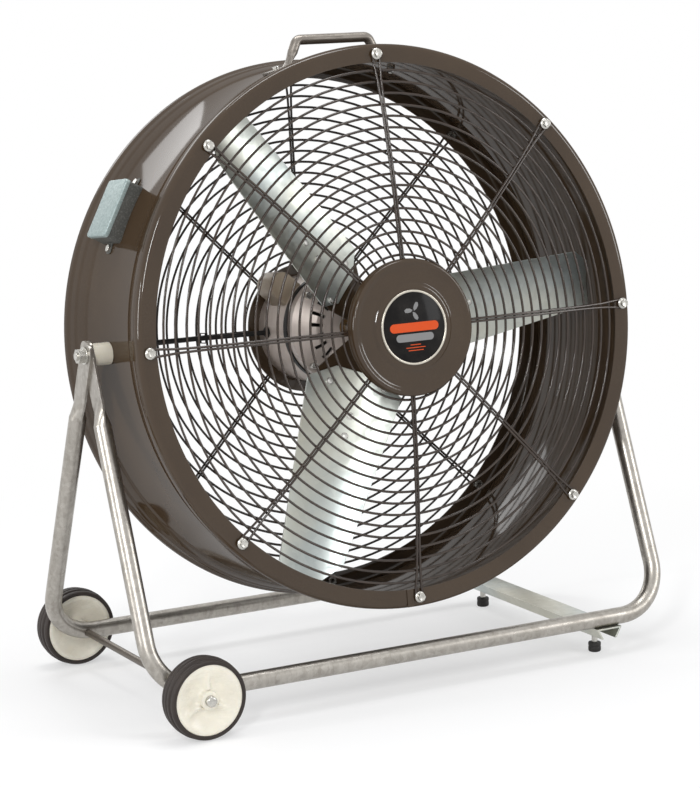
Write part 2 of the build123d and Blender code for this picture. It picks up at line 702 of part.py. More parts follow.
def rear_bell():
    """Cup that closes the motor against the plate, with a seat for the rear bearing."""
    inner = BELL_RADIUS - BELL_SHEET
    back = plate_front()
    floor = back - BELL_SHEET
    bell = turned([
        (0, back), (BELL_RADIUS, back), (BELL_RADIUS, MOTOR_REAR), (inner, MOTOR_REAR), (inner, floor),
        (BOSS_RADIUS, floor), (BOSS_RADIUS, rear_bearing_front()),
        (BEARING_RADIUS, rear_bearing_front()), (BEARING_RADIUS, floor - 2), (0, floor - 2),
    ])
    for hole in motor_bolt_places(rod(M5 + HOLE_CLEARANCE, MOTOR_REAR - CUT, back + CUT)):
        bell -= hole
    return bell


def rear_bearing_front():
    """Height of the rear bearing's front face, between the rotor and the bell's floor."""
    return MOTOR_REAR - 2


def stator():
    """Laminated ring with four flats that leave room for the motor's bolts."""
    square = Rotation(0, 0, 45) * Rectangle(2 * STATOR_FLAT, 2 * STATOR_FLAT)
    outline = (Circle(STATOR_RADIUS) & square) - Circle(ROTOR_RADIUS + AIR_GAP)
    return extrude(Plane.XZ.offset(-STATOR_REAR) * outline, STATOR_REAR - FRONT_BELL_RIM)


def rotor():
    """Laminated core on the shaft."""
    return rod(ROTOR_RADIUS, MOTOR_FRONT, STATOR_REAR) - rod(SHAFT_RADIUS, 0, 2 * STATOR_REAR)


def bearing(start, end):
    """Sleeve bearing that the shaft turns in."""
    bore = rod(SHAFT_RADIUS + RUNNING_CLEARANCE, start - CUT, end + CUT)
    return rod(BEARING_RADIUS, start, end) - bore


def motor_bearings():
    """Front and rear bearing."""
    floor = plate_front() - BELL_SHEET
    front = bearing(FRONT_BELL_FACE + 1, FRONT_BELL_FACE + 1 + BEARING_LENGTH)
    return group([front, bearing(rear_bearing_front(), floor - 2)])


def motor_shaft():
    """Shaft from the rear bearing to just past the fan's hub."""
    return rod(SHAFT_RADIUS, HUB_FRONT - 2, plate_front() - BELL_SHEET - 3)


def motor_bolts(bell):
    """Long bolts that clamp both bells to the rear plate, their heads seated in the front bell."""
    head = FRONT_BELL_SHOULDER - MOTOR_BOLT_SUNK
    end = dome_face(0, REAR_GUARD_RISE) + MOTOR_BOLT_END
    bolt = rod(M5, head, end) + rod(M5_HEX, head, head + MOTOR_BOLT_HEAD)
    return group([solid - bell for solid in motor_bolt_places(bolt)])


def motor_nuts():
    """Nuts behind the motor plate."""
    seat = dome_face(0, REAR_GUARD_RISE)
    nut = hex_bar(M5_HEX, seat, seat + MOTOR_NUT) - rod(M5, seat - CUT, seat + CUT)
    return group(motor_bolt_places(nut))


def capacitor_centre():
    """Distance of the capacitor's middle from the motor's axis."""
    return MOTOR_RADIUS + CAPACITOR_RADIUS + COVER_GAP


def capacitor():
    """Round run capacitor beside the motor shell."""
    can = Pos(capacitor_centre(), 0, 0) * rod(CAPACITOR_RADIUS, CAPACITOR_FRONT, CAPACITOR_REAR)
    return at_angle(can, CAPACITOR_ANGLE)


def capacitor_cover():
    """Domed cover over the capacitor, open towards the motor shell."""
    cover = cover_blank(COVER_GAP + CAPACITOR_COVER_SHEET) - cover_blank(COVER_GAP)
    return at_angle(cover - rod(MOTOR_RADIUS, 0, MOTOR_REAR), CAPACITOR_ANGLE)


def cover_blank(gap):
    """Bar on +X, round on top, that clears the capacitor by a gap and reaches the motor's axis."""
    radius = CAPACITOR_RADIUS + gap
    front = CAPACITOR_FRONT - gap
    rear = CAPACITOR_REAR + gap
    centre = capacitor_centre()
    block = Pos(centre / 2, (front + rear) / 2, 0) * Box(centre, rear - front, 2 * radius)
    return Pos(centre, 0, 0) * rod(radius, front, rear) + block


# Fan


def section_points(radius):
    """Trailing edge, middle and leading edge of a blade's front face, as (across, Y)."""
    share = (radius - BLADE_ROOT_RADIUS) / (BLADE_TIP_RADIUS - BLADE_ROOT_RADIUS)
    trailing = [a + (b - a) * share for a, b in zip(ROOT_TRAILING, TIP_TRAILING)]
    leading = [a + (b - a) * share for a, b in zip(ROOT_LEADING, TIP_LEADING)]
    middle = [(trailing[0] + leading[0]) / 2, (trailing[1] + leading[1]) / 2 + BLADE_CAMBER]
    return trailing, middle, leading


def blade_section(radius, lift, thickness):
    """Cambered strip across a blade at a radius, in the plane square to the blade's length."""
    front = [(x, y + lift) for x, y in section_points(radius)]
    back = [(x, y + thickness) for x, y in front]
    face = make_face([
        ThreePointArc(*front), Line(front[2], back[2]), ThreePointArc(*reversed(back)),
        Line(back[0], front[0]),
    ])
    return Plane(origin=(radius, 0, 0), x_dir=(0, 0, 1), z_dir=(-1, 0, 0)) * face


def cambered_strip(start, end, lift, thickness):
    """Twisted strip between two radii."""
    sections = [blade_section(radius, lift, thickness) for radius in (start, end)]
    return loft(sections, ruled=True)


def cut_to(shape, points):
    """Keep what lies inside an outline drawn seen from the front, +X along the blade."""
    outline = make_face(Polyline(*points, close=True))
    return shape & extrude(Plane.XZ.offset(-HALF_LENGTH) * outline, 2 * HALF_LENGTH)


def blade():
    """Twisted, cambered blade with a rounded tip, one clipped corner and a narrowed root."""
    strip = cambered_strip(BLADE_INNER_END - 2, BLADE_TIP_RADIUS + 8, 0, BLADE_SHEET)
    past_tip = BLADE_TIP_RADIUS + TIP_OVERRUN
    clip = BLADE_TIP_RADIUS - TIP_CLIP_LENGTH
    outline = [
        (BLADE_INNER_END, BLADE_NECK_LOW), (BLADE_NECK, -BLADE_HALF_CHORD),
        (past_tip, -BLADE_HALF_CHORD), (past_tip, TIP_CLIP_LOW), (clip, TIP_CLIP_HIGH),
        (clip, BLADE_HALF_CHORD), (BLADE_NECK, BLADE_HALF_CHORD), (BLADE_INNER_END, BLADE_NECK_HIGH),
    ]
    plain = cut_to(strip, outline) & rod(BLADE_TIP_RADIUS, -HALF_LENGTH, HALF_LENGTH)
    for hole in rivet_holes():
        plain -= hole
    return plain


def spider_arm():
    """Stiff arm behind a blade, tapered from the collar to a narrow end."""
    strip = cambered_strip(ARM_START - 2, ARM_REACH, BLADE_SHEET, ARM_SHEET)
    foot_low = (ARM_START, -ARM_START_HALF)
    foot_high = (ARM_START, ARM_START_HALF)
    arm = cut_to(strip, [foot_low, *ARM_LOW_EDGE, *ARM_HIGH_EDGE, foot_high])
    for hole in rivet_holes():
        arm -= hole
    return arm


def spider():
    """Collar round the hub with three arms that follow the backs of the blades."""
    collar = rod(COLLAR_RADIUS, COLLAR_FRONT, COLLAR_REAR)
    arm = spider_arm()
    for angle in BLADE_ANGLES:
        collar += at_angle(arm, angle)
    collar -= rod(HUB_RADIUS, -HALF_LENGTH, 0)
    return collar - set_screw_bore()


def blade_front(radius, across):
    """Height of a blade's front face, on the circle through its section's three points."""
    trailing, middle, leading = section_points(radius)
    x1, y1 = trailing[0] - middle[0], trailing[1] - middle[1]
    x2, y2 = leading[0] - middle[0], leading[1] - middle[1]
    cross = 2 * (x1 * y2 - x2 * y1)
    centre_x = (y2 * (x1**2 + y1**2) - y1 * (x2**2 + y2**2)) / cross
    centre_y = (x1 * (x2**2 + y2**2) - x2 * (x1**2 + y1**2)) / cross
    rise = sqrt(centre_x**2 + centre_y**2 - (across - middle[0] - centre_x) ** 2)
    return middle[1] + centre_y + rise


def at_rivet(shape, radius, across):
    """A piece drawn along Y from the blade's front face, moved to a rivet, square to the blade."""
    along = (blade_front(radius + 1, across) - blade_front(radius - 1, across)) / 2
    sideways = (blade_front(radius, across + 1) - blade_front(radius, across - 1)) / 2
    turn = Rot(0, 0, degrees(atan2(along, 1))) * Rot(-degrees(atan2(sideways, 1)), 0, 0)
    return Pos(radius, blade_front(radius, across), across) * turn * shape


def rivet_holes():
    """Cutters for the rivet holes through a blade and its arm."""
    cutter = rod(RIVET_RADIUS + RIVET_CLEARANCE, -CUT, 2 * CUT)
    return [at_rivet(cutter, *place) for place in RIVET_PLACES]


def blade_rivets():
    """Flat-headed rivets that clamp each blade to its arm."""
    rivets = []
    for radius, across in RIVET_PLACES:
        sideways = (blade_front(radius, across + 1) - blade_front(radius, across - 1)) / 2
        grip = (BLADE_SHEET + ARM_SHEET) * cos(atan2(sideways, 1))
        front = -RIVET_CLEARANCE
        back = grip + RIVET_CLEARANCE
        rivet = rod(RIVET_HEAD_RADIUS, front - RIVET_HEAD, front) + rod(RIVET_RADIUS, front, back)
        rivet += rod(RIVET_TAIL_RADIUS, back, back + RIVET_TAIL)
        placed = at_rivet(rivet, radius, across)
        rivets += [at_angle(placed, angle) for angle in BLADE_ANGLES]
    return group(rivets)


def fan_hub():
    """Plain bored hub, locked to the shaft by a set screw."""
    hub = rod(HUB_RADIUS, HUB_FRONT, HUB_REAR) - rod(SHAFT_RADIUS, HUB_FRONT - CUT, HUB_REAR + CUT)
    return hub - set_screw_bore()


def set_screw_bore():
    return across_hub(rod_x(SET_SCREW_RADIUS, SHAFT_RADIUS, COLLAR_RADIUS + CUT))


def set_screw():
    return across_hub(rod_x(SET_SCREW_RADIUS, SHAFT_RADIUS, HUB_RADIUS - 1))


def across_hub(shape):
    """Move a piece drawn on +X to the set screw."""
    return at_angle(Pos(0, HUB_FRONT + SET_SCREW_SETBACK, 0) * shape, SET_SCREW_ANGLE)


# Pivots


def pivot_spacers():
    """Nylon spacers between the drum's wall and the stand."""
    start = WALL_INNER
    spacer = rod_x(SPACER_RADIUS, start, FLAT_INNER_FACE - SEAT_GAP)
    spacer -= rod_x(M10, start - CUT, FLAT_INNER_FACE)
    return both_sides(spacer - rod(WALL_RADIUS, -HALF_LENGTH, HALF_LENGTH))


def both_sides(shape):
    """A piece drawn on +X, and the same turned to -X."""
    return group([shape, Rot(0, 180, 0) * shape])


def hex_bar_x(half_width, start, end):
    """Hexagonal bar along X."""
    hexagon = RegularPolygon(half_width, 6, major_radius=False)
    return extrude(Plane.YZ.offset(start) * hexagon, end - start)


def pivot_bolts():
    """Bolts with their heads inside the drum, against its wall."""
    head = hex_bar_x(M10_HEX, WALL_INNER - M10_HEAD, WALL_RADIUS)
    head &= rod(WALL_INNER, -HALF_LENGTH, HALF_LENGTH)
    return both_sides(head + rod_x(M10, WALL_INNER - 2, FLAT_OUTER_FACE + M10_END))


def pivot_washers():
    start = FLAT_OUTER_FACE + SEAT_GAP
    washer = rod_x(PIVOT_WASHER_RADIUS, start, start + PIVOT_WASHER_SHEET)
    return both_sides(washer - rod_x(M10, start - CUT, start + CUT))


def pivot_nuts():
    """Nuts outside the stand's flats, which clamp the tilt."""
    start = FLAT_OUTER_FACE + SEAT_GAP + PIVOT_WASHER_SHEET
    nut = hex_bar_x(M10_HEX, start, start + M10_NUT)
    return both_sides(nut - rod_x(M10, start - CUT, start + 2 * M10_NUT))


# Handle


def handle_foot_angle():
    """Angle from the top of the drum to each of the handle's screws."""
    return degrees(atan2(HANDLE_FOOT_X, sqrt(WALL_RADIUS**2 - HANDLE_FOOT_X**2)))


def handle_places(shape):
    """A piece drawn on +X, moved to each of the handle's two screws."""
    angle = handle_foot_angle()
    return [at_angle(Pos(0, HANDLE_Y, 0) * shape, 90 + turn) for turn in (-angle, angle)]


def handle():
    """Round bar with bent legs whose flattened feet lie on the drum."""
    foot_centre = WALL_RADIUS + HANDLE_FOOT_THICKNESS / 2
    foot = Box(HANDLE_FOOT_THICKNESS, HANDLE_FOOT_WIDTH, HANDLE_FOOT_LENGTH)
    foot -= rod_x(M5 + HOLE_CLEARANCE, -CUT, CUT)
    leg_end = (HANDLE_HALF_BAR + HANDLE_LEG_SPREAD, 0, HANDLE_BAR_RADIUS - HANDLE_LEG_DROP)
    path = FilletPolyline(
        (-leg_end[0], 0, leg_end[2]), (-HANDLE_HALF_BAR, 0, HANDLE_BAR_RADIUS),
        (HANDLE_HALF_BAR, 0, HANDLE_BAR_RADIUS), leg_end, radius=HANDLE_BEND_RADIUS,
    )
    start = Plane(origin=path @ 0, z_dir=path % 0)
    grip = Pos(0, HANDLE_Y, 0) * sweep(start * Circle(HANDLE_RADIUS), path)
    for side in (-1, 1):
        grip += handle_leg(side, leg_end, foot_centre)
    for place in handle_places(Pos(foot_centre, 0, 0) * foot):
        grip += place
    return grip


def handle_leg(side, leg_end, foot_centre):
    """Leg that flattens from round into its foot."""
    angle = radians(handle_foot_angle())
    half = HANDLE_FOOT_LENGTH / 2 - 1
    low_x = foot_centre * sin(angle) - half * cos(angle)
    low_z = foot_centre * cos(angle) + half * sin(angle)
    along = (side * HANDLE_LEG_SPREAD, 0, -HANDLE_LEG_DROP)
    top = Plane(origin=(side * leg_end[0], HANDLE_Y, leg_end[2]), x_dir=(0, 1, 0), z_dir=along)
    low = Plane(origin=(side * low_x, HANDLE_Y, low_z), x_dir=(0, 1, 0), z_dir=along)
    flat = Rectangle(HANDLE_FOOT_WIDTH, HANDLE_FOOT_THICKNESS)
    return loft([top * Circle(HANDLE_RADIUS), low * flat])


def handle_screws():
    """Pan-headed screws through the handle's feet, with nuts inside the drum."""
    seat = WALL_RADIUS + HANDLE_FOOT_THICKNESS
    screw = rod_x(M5, WALL_INNER - M5_REACH, seat) + rod_x(M5_HEX, seat, seat + M5_HEAD)
    return group(handle_places(screw))


def handle_nuts():
    return group(handle_places(wall_nut()))


def wall_nut():
    """Nut on +X against the inside of the drum's wall."""
    nut = hex_bar_x(M5_HEX, WALL_INNER - M5_NUT, WALL_RADIUS)
    nut -= rod_x(M5, WALL_INNER - 2 * M5_NUT, WALL_RADIUS + CUT)
    return nut & rod(WALL_INNER, -HALF_LENGTH, HALF_LENGTH)


# Wiring box and motor lead


def box_ear_places(shape):
    """A piece drawn on +X, moved to each of the wiring box's two ears."""
    half = degrees((BOX_LENGTH / 2 + BOX_EAR / 2) / WALL_RADIUS)
    return [at_angle(Pos(0, LEAD_HOLE_Y, 0) * shape, BOX_ANGLE + turn) for turn in (-half, half)]


def wiring_box():
    """Sheet box on the drum's wall, open towards the drum, with an ear at each end."""
    width = BOX_REAR - BOX_FRONT
    inner_width = width - 2 * BOX_SHEET
    inner_length = BOX_LENGTH - 2 * BOX_SHEET
    middle = Pos(BOX_LID_RADIUS - BOX_SIDE_DEPTH / 2, (BOX_FRONT + BOX_REAR) / 2, 0)
    box = middle * Box(BOX_SIDE_DEPTH, width, BOX_LENGTH)
    box -= Pos(-BOX_SHEET, 0, 0) * middle * Box(BOX_SIDE_DEPTH, inner_width, inner_length)
    on_strap = Pos(WALL_RADIUS, LEAD_HOLE_Y, 0)
    strap = on_strap * Box(BOX_SIDE_DEPTH, BOX_EAR, BOX_LENGTH + 2 * BOX_EAR)
    strap &= rod(WALL_RADIUS + BOX_SHEET, -HALF_LENGTH, HALF_LENGTH)
    strap -= on_strap * Box(2 * BOX_SIDE_DEPTH, 2 * BOX_EAR, inner_length)
    box = at_angle(box + strap, BOX_ANGLE) - rod(WALL_RADIUS, -HALF_LENGTH, HALF_LENGTH)
    for hole in box_ear_places(wall_hole(M5 + HOLE_CLEARANCE)):
        box -= hole
    return box


def box_screws():
    """Screws through the box's ears."""
    seat = WALL_RADIUS + BOX_SHEET
    screw = rod_x(M5, WALL_INNER - M5_REACH, seat) + rod_x(M5_HEX, seat, seat + BOX_SCREW_HEAD)
    return group(box_ear_places(screw))


def box_nuts():
    """Nuts inside the drum for the box's screws."""
    return group(box_ear_places(wall_nut()))


def lead_points():
    """Route of the motor lead, from inside the motor shell to inside the wiring box."""
    along_wall = [
        lead_corner(WALL_INNER - gap, angle, HALF_LENGTH - setback)
        for gap, angle, setback in LEAD_WALL_ROUTE
    ]
    return [
        lead_corner(MOTOR_RADIUS - LEAD_INSIDE_MOTOR, 180, LEAD_Y),
        lead_corner(MOTOR_RADIUS + LEAD_STRAIGHT, 180, LEAD_Y),
        lead_corner(MOTOR_RADIUS + LEAD_TO_SPOKE, 180, HALF_LENGTH),
        *along_wall,
        lead_corner(WALL_INNER - LEAD_LAST_CORNER, BOX_ANGLE, LEAD_HOLE_Y),
        lead_corner(WALL_RADIUS + LEAD_IN_BOX, BOX_ANGLE, LEAD_HOLE_Y),
    ]


def lead_corner(radius, angle, y):
    """Point at a radius and angle about the drum's axis."""
    return radius * cos(radians(angle)), y, radius * sin(radians(angle))


def largest_radii(points):
    """Largest arc at each corner: 0.45 of its shorter run over the tangent of half the turn."""
    radii = []
    for before, here, after in zip(points, points[1:], points[2:]):
        run_in = Vector(*here) - Vector(*before)
        run_out = Vector(*after) - Vector(*here)
        half_turn = radians(run_in.get_angle(run_out) / 2)
        radii.append(0.45 * min(run_in.length, run_out.length) * cos(half_turn) / sin(half_turn))
    return radii


def motor_lead():
    """Round cord from the motor, along the rear guard's left spoke, into the wiring box."""
    points = lead_points()
    radii = largest_radii(points)
    path = FilletPolyline(*points, radius=radii)
    start = Plane(origin=path @ 0, z_dir=path % 0)
    lead = sweep(start * Circle(LEAD_RADIUS), path)
    share = lead.volume / (pi * LEAD_RADIUS**2 * path.length)
    print("lead radii", [round(radius) for radius in radii], "volume share", round(share, 4))
    return lead


def lead_grommets():
    """Bushes where the lead leaves the motor shell and passes the drum's wall."""
    bush = rod_x(LEAD_RADIUS + GROMMET_WALL, -GROMMET_HALF_LENGTH, GROMMET_HALF_LENGTH)
    bush += rod_x(LEAD_RADIUS + GROMMET_FLANGE, 0, GROMMET_FLANGE_SHEET)
    bush -= rod_x(LEAD_RADIUS, -CUT, CUT)
    motor_bush = Pos(-MOTOR_RADIUS, LEAD_Y, 0) * Rot(0, 180, 0) * bush
    wall_place = Pos(WALL_INNER - WELD / 2, LEAD_HOLE_Y, 0)
    return group([motor_bush, at_angle(wall_place * Rot(0, 180, 0) * bush, BOX_ANGLE)])


def lead_tie():
    """Strap that holds the lead to the guard's left spoke, between two rings."""
    radius = FIRST_RING_RADIUS + TIE_RING_STEPS * RING_PITCH
    top = dome_face(radius - TIE_WIDTH, REAR_GUARD_RISE) + WIRE + SEAT_GAP
    low = HALF_LENGTH - TIE_FLOOR_SETBACK
    loop = Box(TIE_WIDTH, top - low + 2 * TIE_SHEET, 2 * (TIE_HALF_SPAN + TIE_SHEET))
    loop -= Box(2 * TIE_WIDTH, top - low, 2 * TIE_HALF_SPAN)
    return Pos(-radius, (top + low) / 2, 0) * loop


def build():
    """Write every piece in its place to a STEP file of its own."""
    front_tube, rear_tube = stand_tubes()
    plain_blade = blade()
    blades = [at_angle(plain_blade, angle) for angle in BLADE_ANGLES]
    bell = front_bell()
    stand = {
        "front_tube": front_tube,
        "rear_tube": rear_tube,
        "cross_channel": cross_channel(),
        "rubber_feet": rubber_feet(),
        "foot_studs": foot_studs(),
        "axle": axle(),
        "axle_caps": axle_caps(),
        "axle_washers": axle_washers(),
        "rear_tyre": on_axle(tyre()),
        "rear_wheel_hub": on_axle(wheel_hub()),
        "front_tyre": on_axle(to_front(tyre())),
        "front_wheel_hub": on_axle(to_front(wheel_hub())),
    }
    drum = {
        "drum_shell": drum_shell(),
        "seam_tab": seam_tab(),
        "front_guard_rings": to_front(guard_rings(FRONT_GUARD_RISE)),
        "front_guard_spokes": to_front(guard_spokes(FRONT_GUARD_RISE)),
        "front_guard_plate": to_front(front_guard_plate()),
        "front_guard_bolts": to_front(guard_bolts()),
        "front_guard_nuts": to_front(guard_nuts()),
        "hub_cover": to_front(hub_cover()),
        "cover_fastener": to_front(cover_fastener()),
        "medallion": to_front(medallion()),
        "rear_guard_rings": guard_rings(REAR_GUARD_RISE),
        "rear_guard_spokes": guard_spokes(REAR_GUARD_RISE),
        "rear_guard_bolts": guard_bolts(),
        "rear_guard_nuts": guard_nuts(),
        "motor_plate": motor_plate(),
        "motor_shell": motor_shell(),
        "front_bell": bell,
        "rear_bell": rear_bell(),
        "stator": stator(),
        "motor_bearings": motor_bearings(),
        "motor_bolts": motor_bolts(bell),
        "motor_nuts": motor_nuts(),
        "capacitor": capacitor(),
        "capacitor_cover": capacitor_cover(),
        "pivot_spacers": pivot_spacers(),
        "pivot_bolts": pivot_bolts(),
        "pivot_washers": pivot_washers(),
        "pivot_nuts": pivot_nuts(),
        "handle": handle(),
        "handle_screws": handle_screws(),
        "handle_nuts": handle_nuts(),
        "wiring_box": wiring_box(),
        "box_screws": box_screws(),
        "box_nuts": box_nuts(),
        "motor_lead": motor_lead(),
        "lead_grommets": lead_grommets(),
        "lead_tie": lead_tie(),
        "motor_shaft": motor_shaft(),
        "rotor": rotor(),
        "fan_hub": fan_hub(),
        "set_screw": set_screw(),
        "blade_spider": spider(),
        "upper_blade": blades[0],
        "right_blade": blades[1],
        "lower_blade": blades[2],
        "blade_rivets": blade_rivets(),
    }
    os.makedirs("parts", exist_ok=True)
    for name, shape in stand.items():
        export_step(shape, f"parts/{name}.step")
    for name, shape in drum.items():
        export_step(on_drum(shape), f"parts/{name}.step")


build()
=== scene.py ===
import math

import bpy
from mathutils import Matrix, Vector


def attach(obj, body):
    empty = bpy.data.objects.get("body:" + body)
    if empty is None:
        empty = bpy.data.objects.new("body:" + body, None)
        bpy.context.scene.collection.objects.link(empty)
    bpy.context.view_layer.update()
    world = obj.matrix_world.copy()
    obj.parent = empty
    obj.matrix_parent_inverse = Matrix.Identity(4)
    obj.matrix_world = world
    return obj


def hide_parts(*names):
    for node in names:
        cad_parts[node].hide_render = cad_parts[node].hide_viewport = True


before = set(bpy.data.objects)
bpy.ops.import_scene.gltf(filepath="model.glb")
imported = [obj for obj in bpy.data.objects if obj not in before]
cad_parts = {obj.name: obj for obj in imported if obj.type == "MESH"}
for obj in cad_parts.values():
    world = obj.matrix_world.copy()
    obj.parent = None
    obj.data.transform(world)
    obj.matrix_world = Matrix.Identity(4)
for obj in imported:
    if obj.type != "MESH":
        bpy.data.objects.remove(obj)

for spare in ("Cube", "Light", "Camera"):
    if spare in bpy.data.objects:
        bpy.data.objects.remove(bpy.data.objects[spare])
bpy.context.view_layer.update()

# Sizes of the fan, in metres. The drum's own pieces are made about the Y axis and tilted last.
PIVOT_HEIGHT = 0.4465
DRUM_TILT = math.radians(-7.0)
HALF_LENGTH = 0.118
WALL_RADIUS = 0.3445
DRUM_SHEET = 0.0016

# Guards: round wires on a dome that rises from the radius of its foot to a flat middle
WIRE = 0.0032
RING_COUNT = 17
FIRST_RING = 0.091
RING_PITCH = 0.0145
RING_SINK = 0.0002
DOME_FOOT = 0.332
DOME_FLAT = 0.088
FRONT_RISE = 0.0244
REAR_RISE = 0.0124

# Hairpin spokes, with half the room between their legs at the hub and at the bolt
SPOKE_COUNT = 8
SPOKE_HUB_HALF = 0.0018
SPOKE_LOOP_HALF = 0.0052
SPOKE_FLARE_START = 0.3
BOLT_CIRCLE = 0.343

# Hub cover and badge, along the drum's axis
COVER_BACK = HALF_LENGTH + FRONT_RISE + WIRE
COVER_DEPTH = 0.0144
COVER_FRONT = COVER_BACK + COVER_DEPTH
BADGE_THICKNESS = 0.0012
INLAY_THICKNESS = 0.00012

# Motor, wiring box, lead and blades. Their angles round the drum are in degrees
MOTOR_RADIUS = 0.0719
CAPACITOR_ANGLE = 137.0
HOOD_Y = 0.08
BOX_ANGLE = 150.75
BOX_Y = 0.0235
BOX_SHEET = 0.0014
LID_SHEET = 0.0006
EAR_TURN = 0.1270  # radians, from the middle of the box
LEAD_DIAMETER = 0.0064
BLADE_ANGLES = (126.5, 6.5, -113.5)

# Stand
AXLE = Vector((-0.3227, 0.0, 0.0508))
WHEEL_MIDDLE = 0.195
FOOT_X = 0.2820
FOOT_Y = 0.1400

# Fineness of the meshes: sides and steps of what is round, and gaps that are closed
WIRE_SIDES = 8
RING_STEPS = 120
LOOP_STEPS = 14
DRUM_STEPS = 240
WELD_GAP = 0.00001
OUTLINE_GAP = 0.000001
CUTTER_LENGTH = 0.2
ALIGNED = 0.9  # cosine from which a face or a line counts as lying along an axis

AS_DRAWN = Matrix.Identity(4)
TILTED = Matrix.Translation((0.0, 0.0, PIVOT_HEIGHT)) @ Matrix.Rotation(DRUM_TILT, 4, "X")
TO_FRONT = Matrix.Rotation(math.pi, 4, "X")
ON_AXLE = Matrix.Translation(AXLE)

# The photograph's viewpoint: place, turns in radians, and lens and film in millimetres
VIEW_PLACE = Vector((-1.6054, -2.8894, 0.9541))
VIEW_AROUND = -0.5058
VIEW_UP = 0.1783
VIEW_ROLL = -0.0223
VIEW_LENS = 132.31
FILM_WIDTH = 36.0

# Each lamp's name, place, the point that it faces, its width, height and power in watts
LAMPS = (
    ("key", (-2.2, -2.5, 2.0), (0, 0, 0.42), 0.26, 1.1, 44),
    ("side", (-3.2, 0.1, 1.0), (0, 0, 0.45), 0.26, 0.9, 24),
    ("back", (-0.1, 2.6, 1.5), (-0.2, 0, 0.6), 1.0, 0.55, 6),
    ("fill", (2.4, -2.0, 1.3), (0, 0, 0.42), 0.7, 1.2, 22),
    ("overhead", (0.1, 0.1, 2.8), (0, 0, 0.4), 2.0, 0.5, 30),
)
WHITE = (1.0, 1.0, 1.0, 1.0)

# What the finishes share. The last three are sockets of a Mix node for colours
BEVEL_SAMPLES = 4
DUST_COVER = 0.35
SMEAR_SHARE = 0.6
MIX_BELOW, MIX_ABOVE, MIXED = 6, 7, 2


# Node helpers for materials


def colour(red, green, blue):
    """Screen colour, 0 to 255, as the linear colour that a shader takes."""
    parts = [value / 255 for value in (red, green, blue)]
    linear = [p / 12.92 if p <= 0.04045 else ((p + 0.055) / 1.055) ** 2.4 for p in parts]
    return (*linear, 1.0)


def feed(tree, socket, value):
    """Give a socket a number, or a link from another socket."""
    if isinstance(value, (int, float)):
        socket.default_value = value
    else:
        tree.links.new(value, socket)


def new_group(name, inputs, outputs):
    """Shader node group with float inputs, each with its value, and float outputs."""
    tree = bpy.data.node_groups.new(name, "ShaderNodeTree")
    for socket, value in inputs.items():
        made = tree.interface.new_socket(socket, in_out="INPUT", socket_type="NodeSocketFloat")
        made.default_value = value
    for socket in outputs:
        tree.interface.new_socket(socket, in_out="OUTPUT", socket_type="NodeSocketFloat")
    return tree, tree.nodes.new("NodeGroupInput"), tree.nodes.new("NodeGroupOutput")


def noise(tree, vector, scale, detail=4.0, rough=0.55):
    """Cloudy value from 0 to 1."""
    node = tree.nodes.new("ShaderNodeTexNoise")
    node.inputs["Detail"].default_value = detail
    node.inputs["Roughness"].default_value = rough
    tree.links.new(vector, node.inputs["Vector"])
    feed(tree, node.inputs["Scale"], scale)
    return node.outputs["Fac"]


def spread_range(tree, value, low, high, to_low=0.0, to_high=1.0):
    """Map Range from low..high, clamped."""
    node = tree.nodes.new("ShaderNodeMapRange")
    node.inputs["From Min"].default_value = low
    node.inputs["From Max"].default_value = high
    node.inputs["To Min"].default_value = to_low
    node.inputs["To Max"].default_value = to_high
    tree.links.new(value, node.inputs["Value"])
    return node.outputs["Result"]


def reckon(tree, operation, first, second):
    """Math node on two sockets or numbers."""
    node = tree.nodes.new("ShaderNodeMath")
    node.operation = operation
    feed(tree, node.inputs[0], first)
    feed(tree, node.inputs[1], second)
    return node.outputs["Value"]


def product(tree, first, second):
    return reckon(tree, "MULTIPLY", first, second)


def object_point(tree, stretch=(1.0, 1.0, 1.0), turn=(0.0, 0.0, 0.0)):
    """Object coordinates, stretched along the piece's axes."""
    coordinates = tree.nodes.new("ShaderNodeTexCoord")
    mapping = tree.nodes.new("ShaderNodeMapping")
    mapping.inputs["Scale"].default_value = stretch
    mapping.inputs["Rotation"].default_value = turn
    tree.links.new(coordinates.outputs["Object"], mapping.inputs["Vector"])
    return mapping.outputs["Vector"]


def make_handling_wear():
    """Dust, smears and pits that every finish shares, at its own scale and strength."""
    tree, given, result = new_group(
        "handling_wear", {"Scale": 1.0, "Dust": 0.5, "Smears": 0.5}, ("Dust", "Smear", "Pits"),
    )
    scale = given.outputs["Scale"]
    point = object_point(tree)
    broad = noise(tree, point, product(tree, scale, 9.0), 5.0, 0.6)
    fine = noise(tree, point, product(tree, scale, 420.0), 3.0, 0.6)
    long_point = object_point(tree, (1.0, 0.35, 2.4), (0.3, 0.7, 0.2))
    streak = noise(tree, long_point, product(tree, scale, 26.0), 6.0, 0.65)
    broad_dust = spread_range(tree, broad, 0.42, 0.72)
    dust = product(tree, broad_dust, spread_range(tree, fine, 0.4, 0.7))
    tree.links.new(product(tree, dust, given.outputs["Dust"]), result.inputs["Dust"])
    smear = product(tree, spread_range(tree, streak, 0.45, 0.7), given.outputs["Smears"])
    tree.links.new(smear, result.inputs["Smear"])
    tree.links.new(fine, result.inputs["Pits"])
    return tree


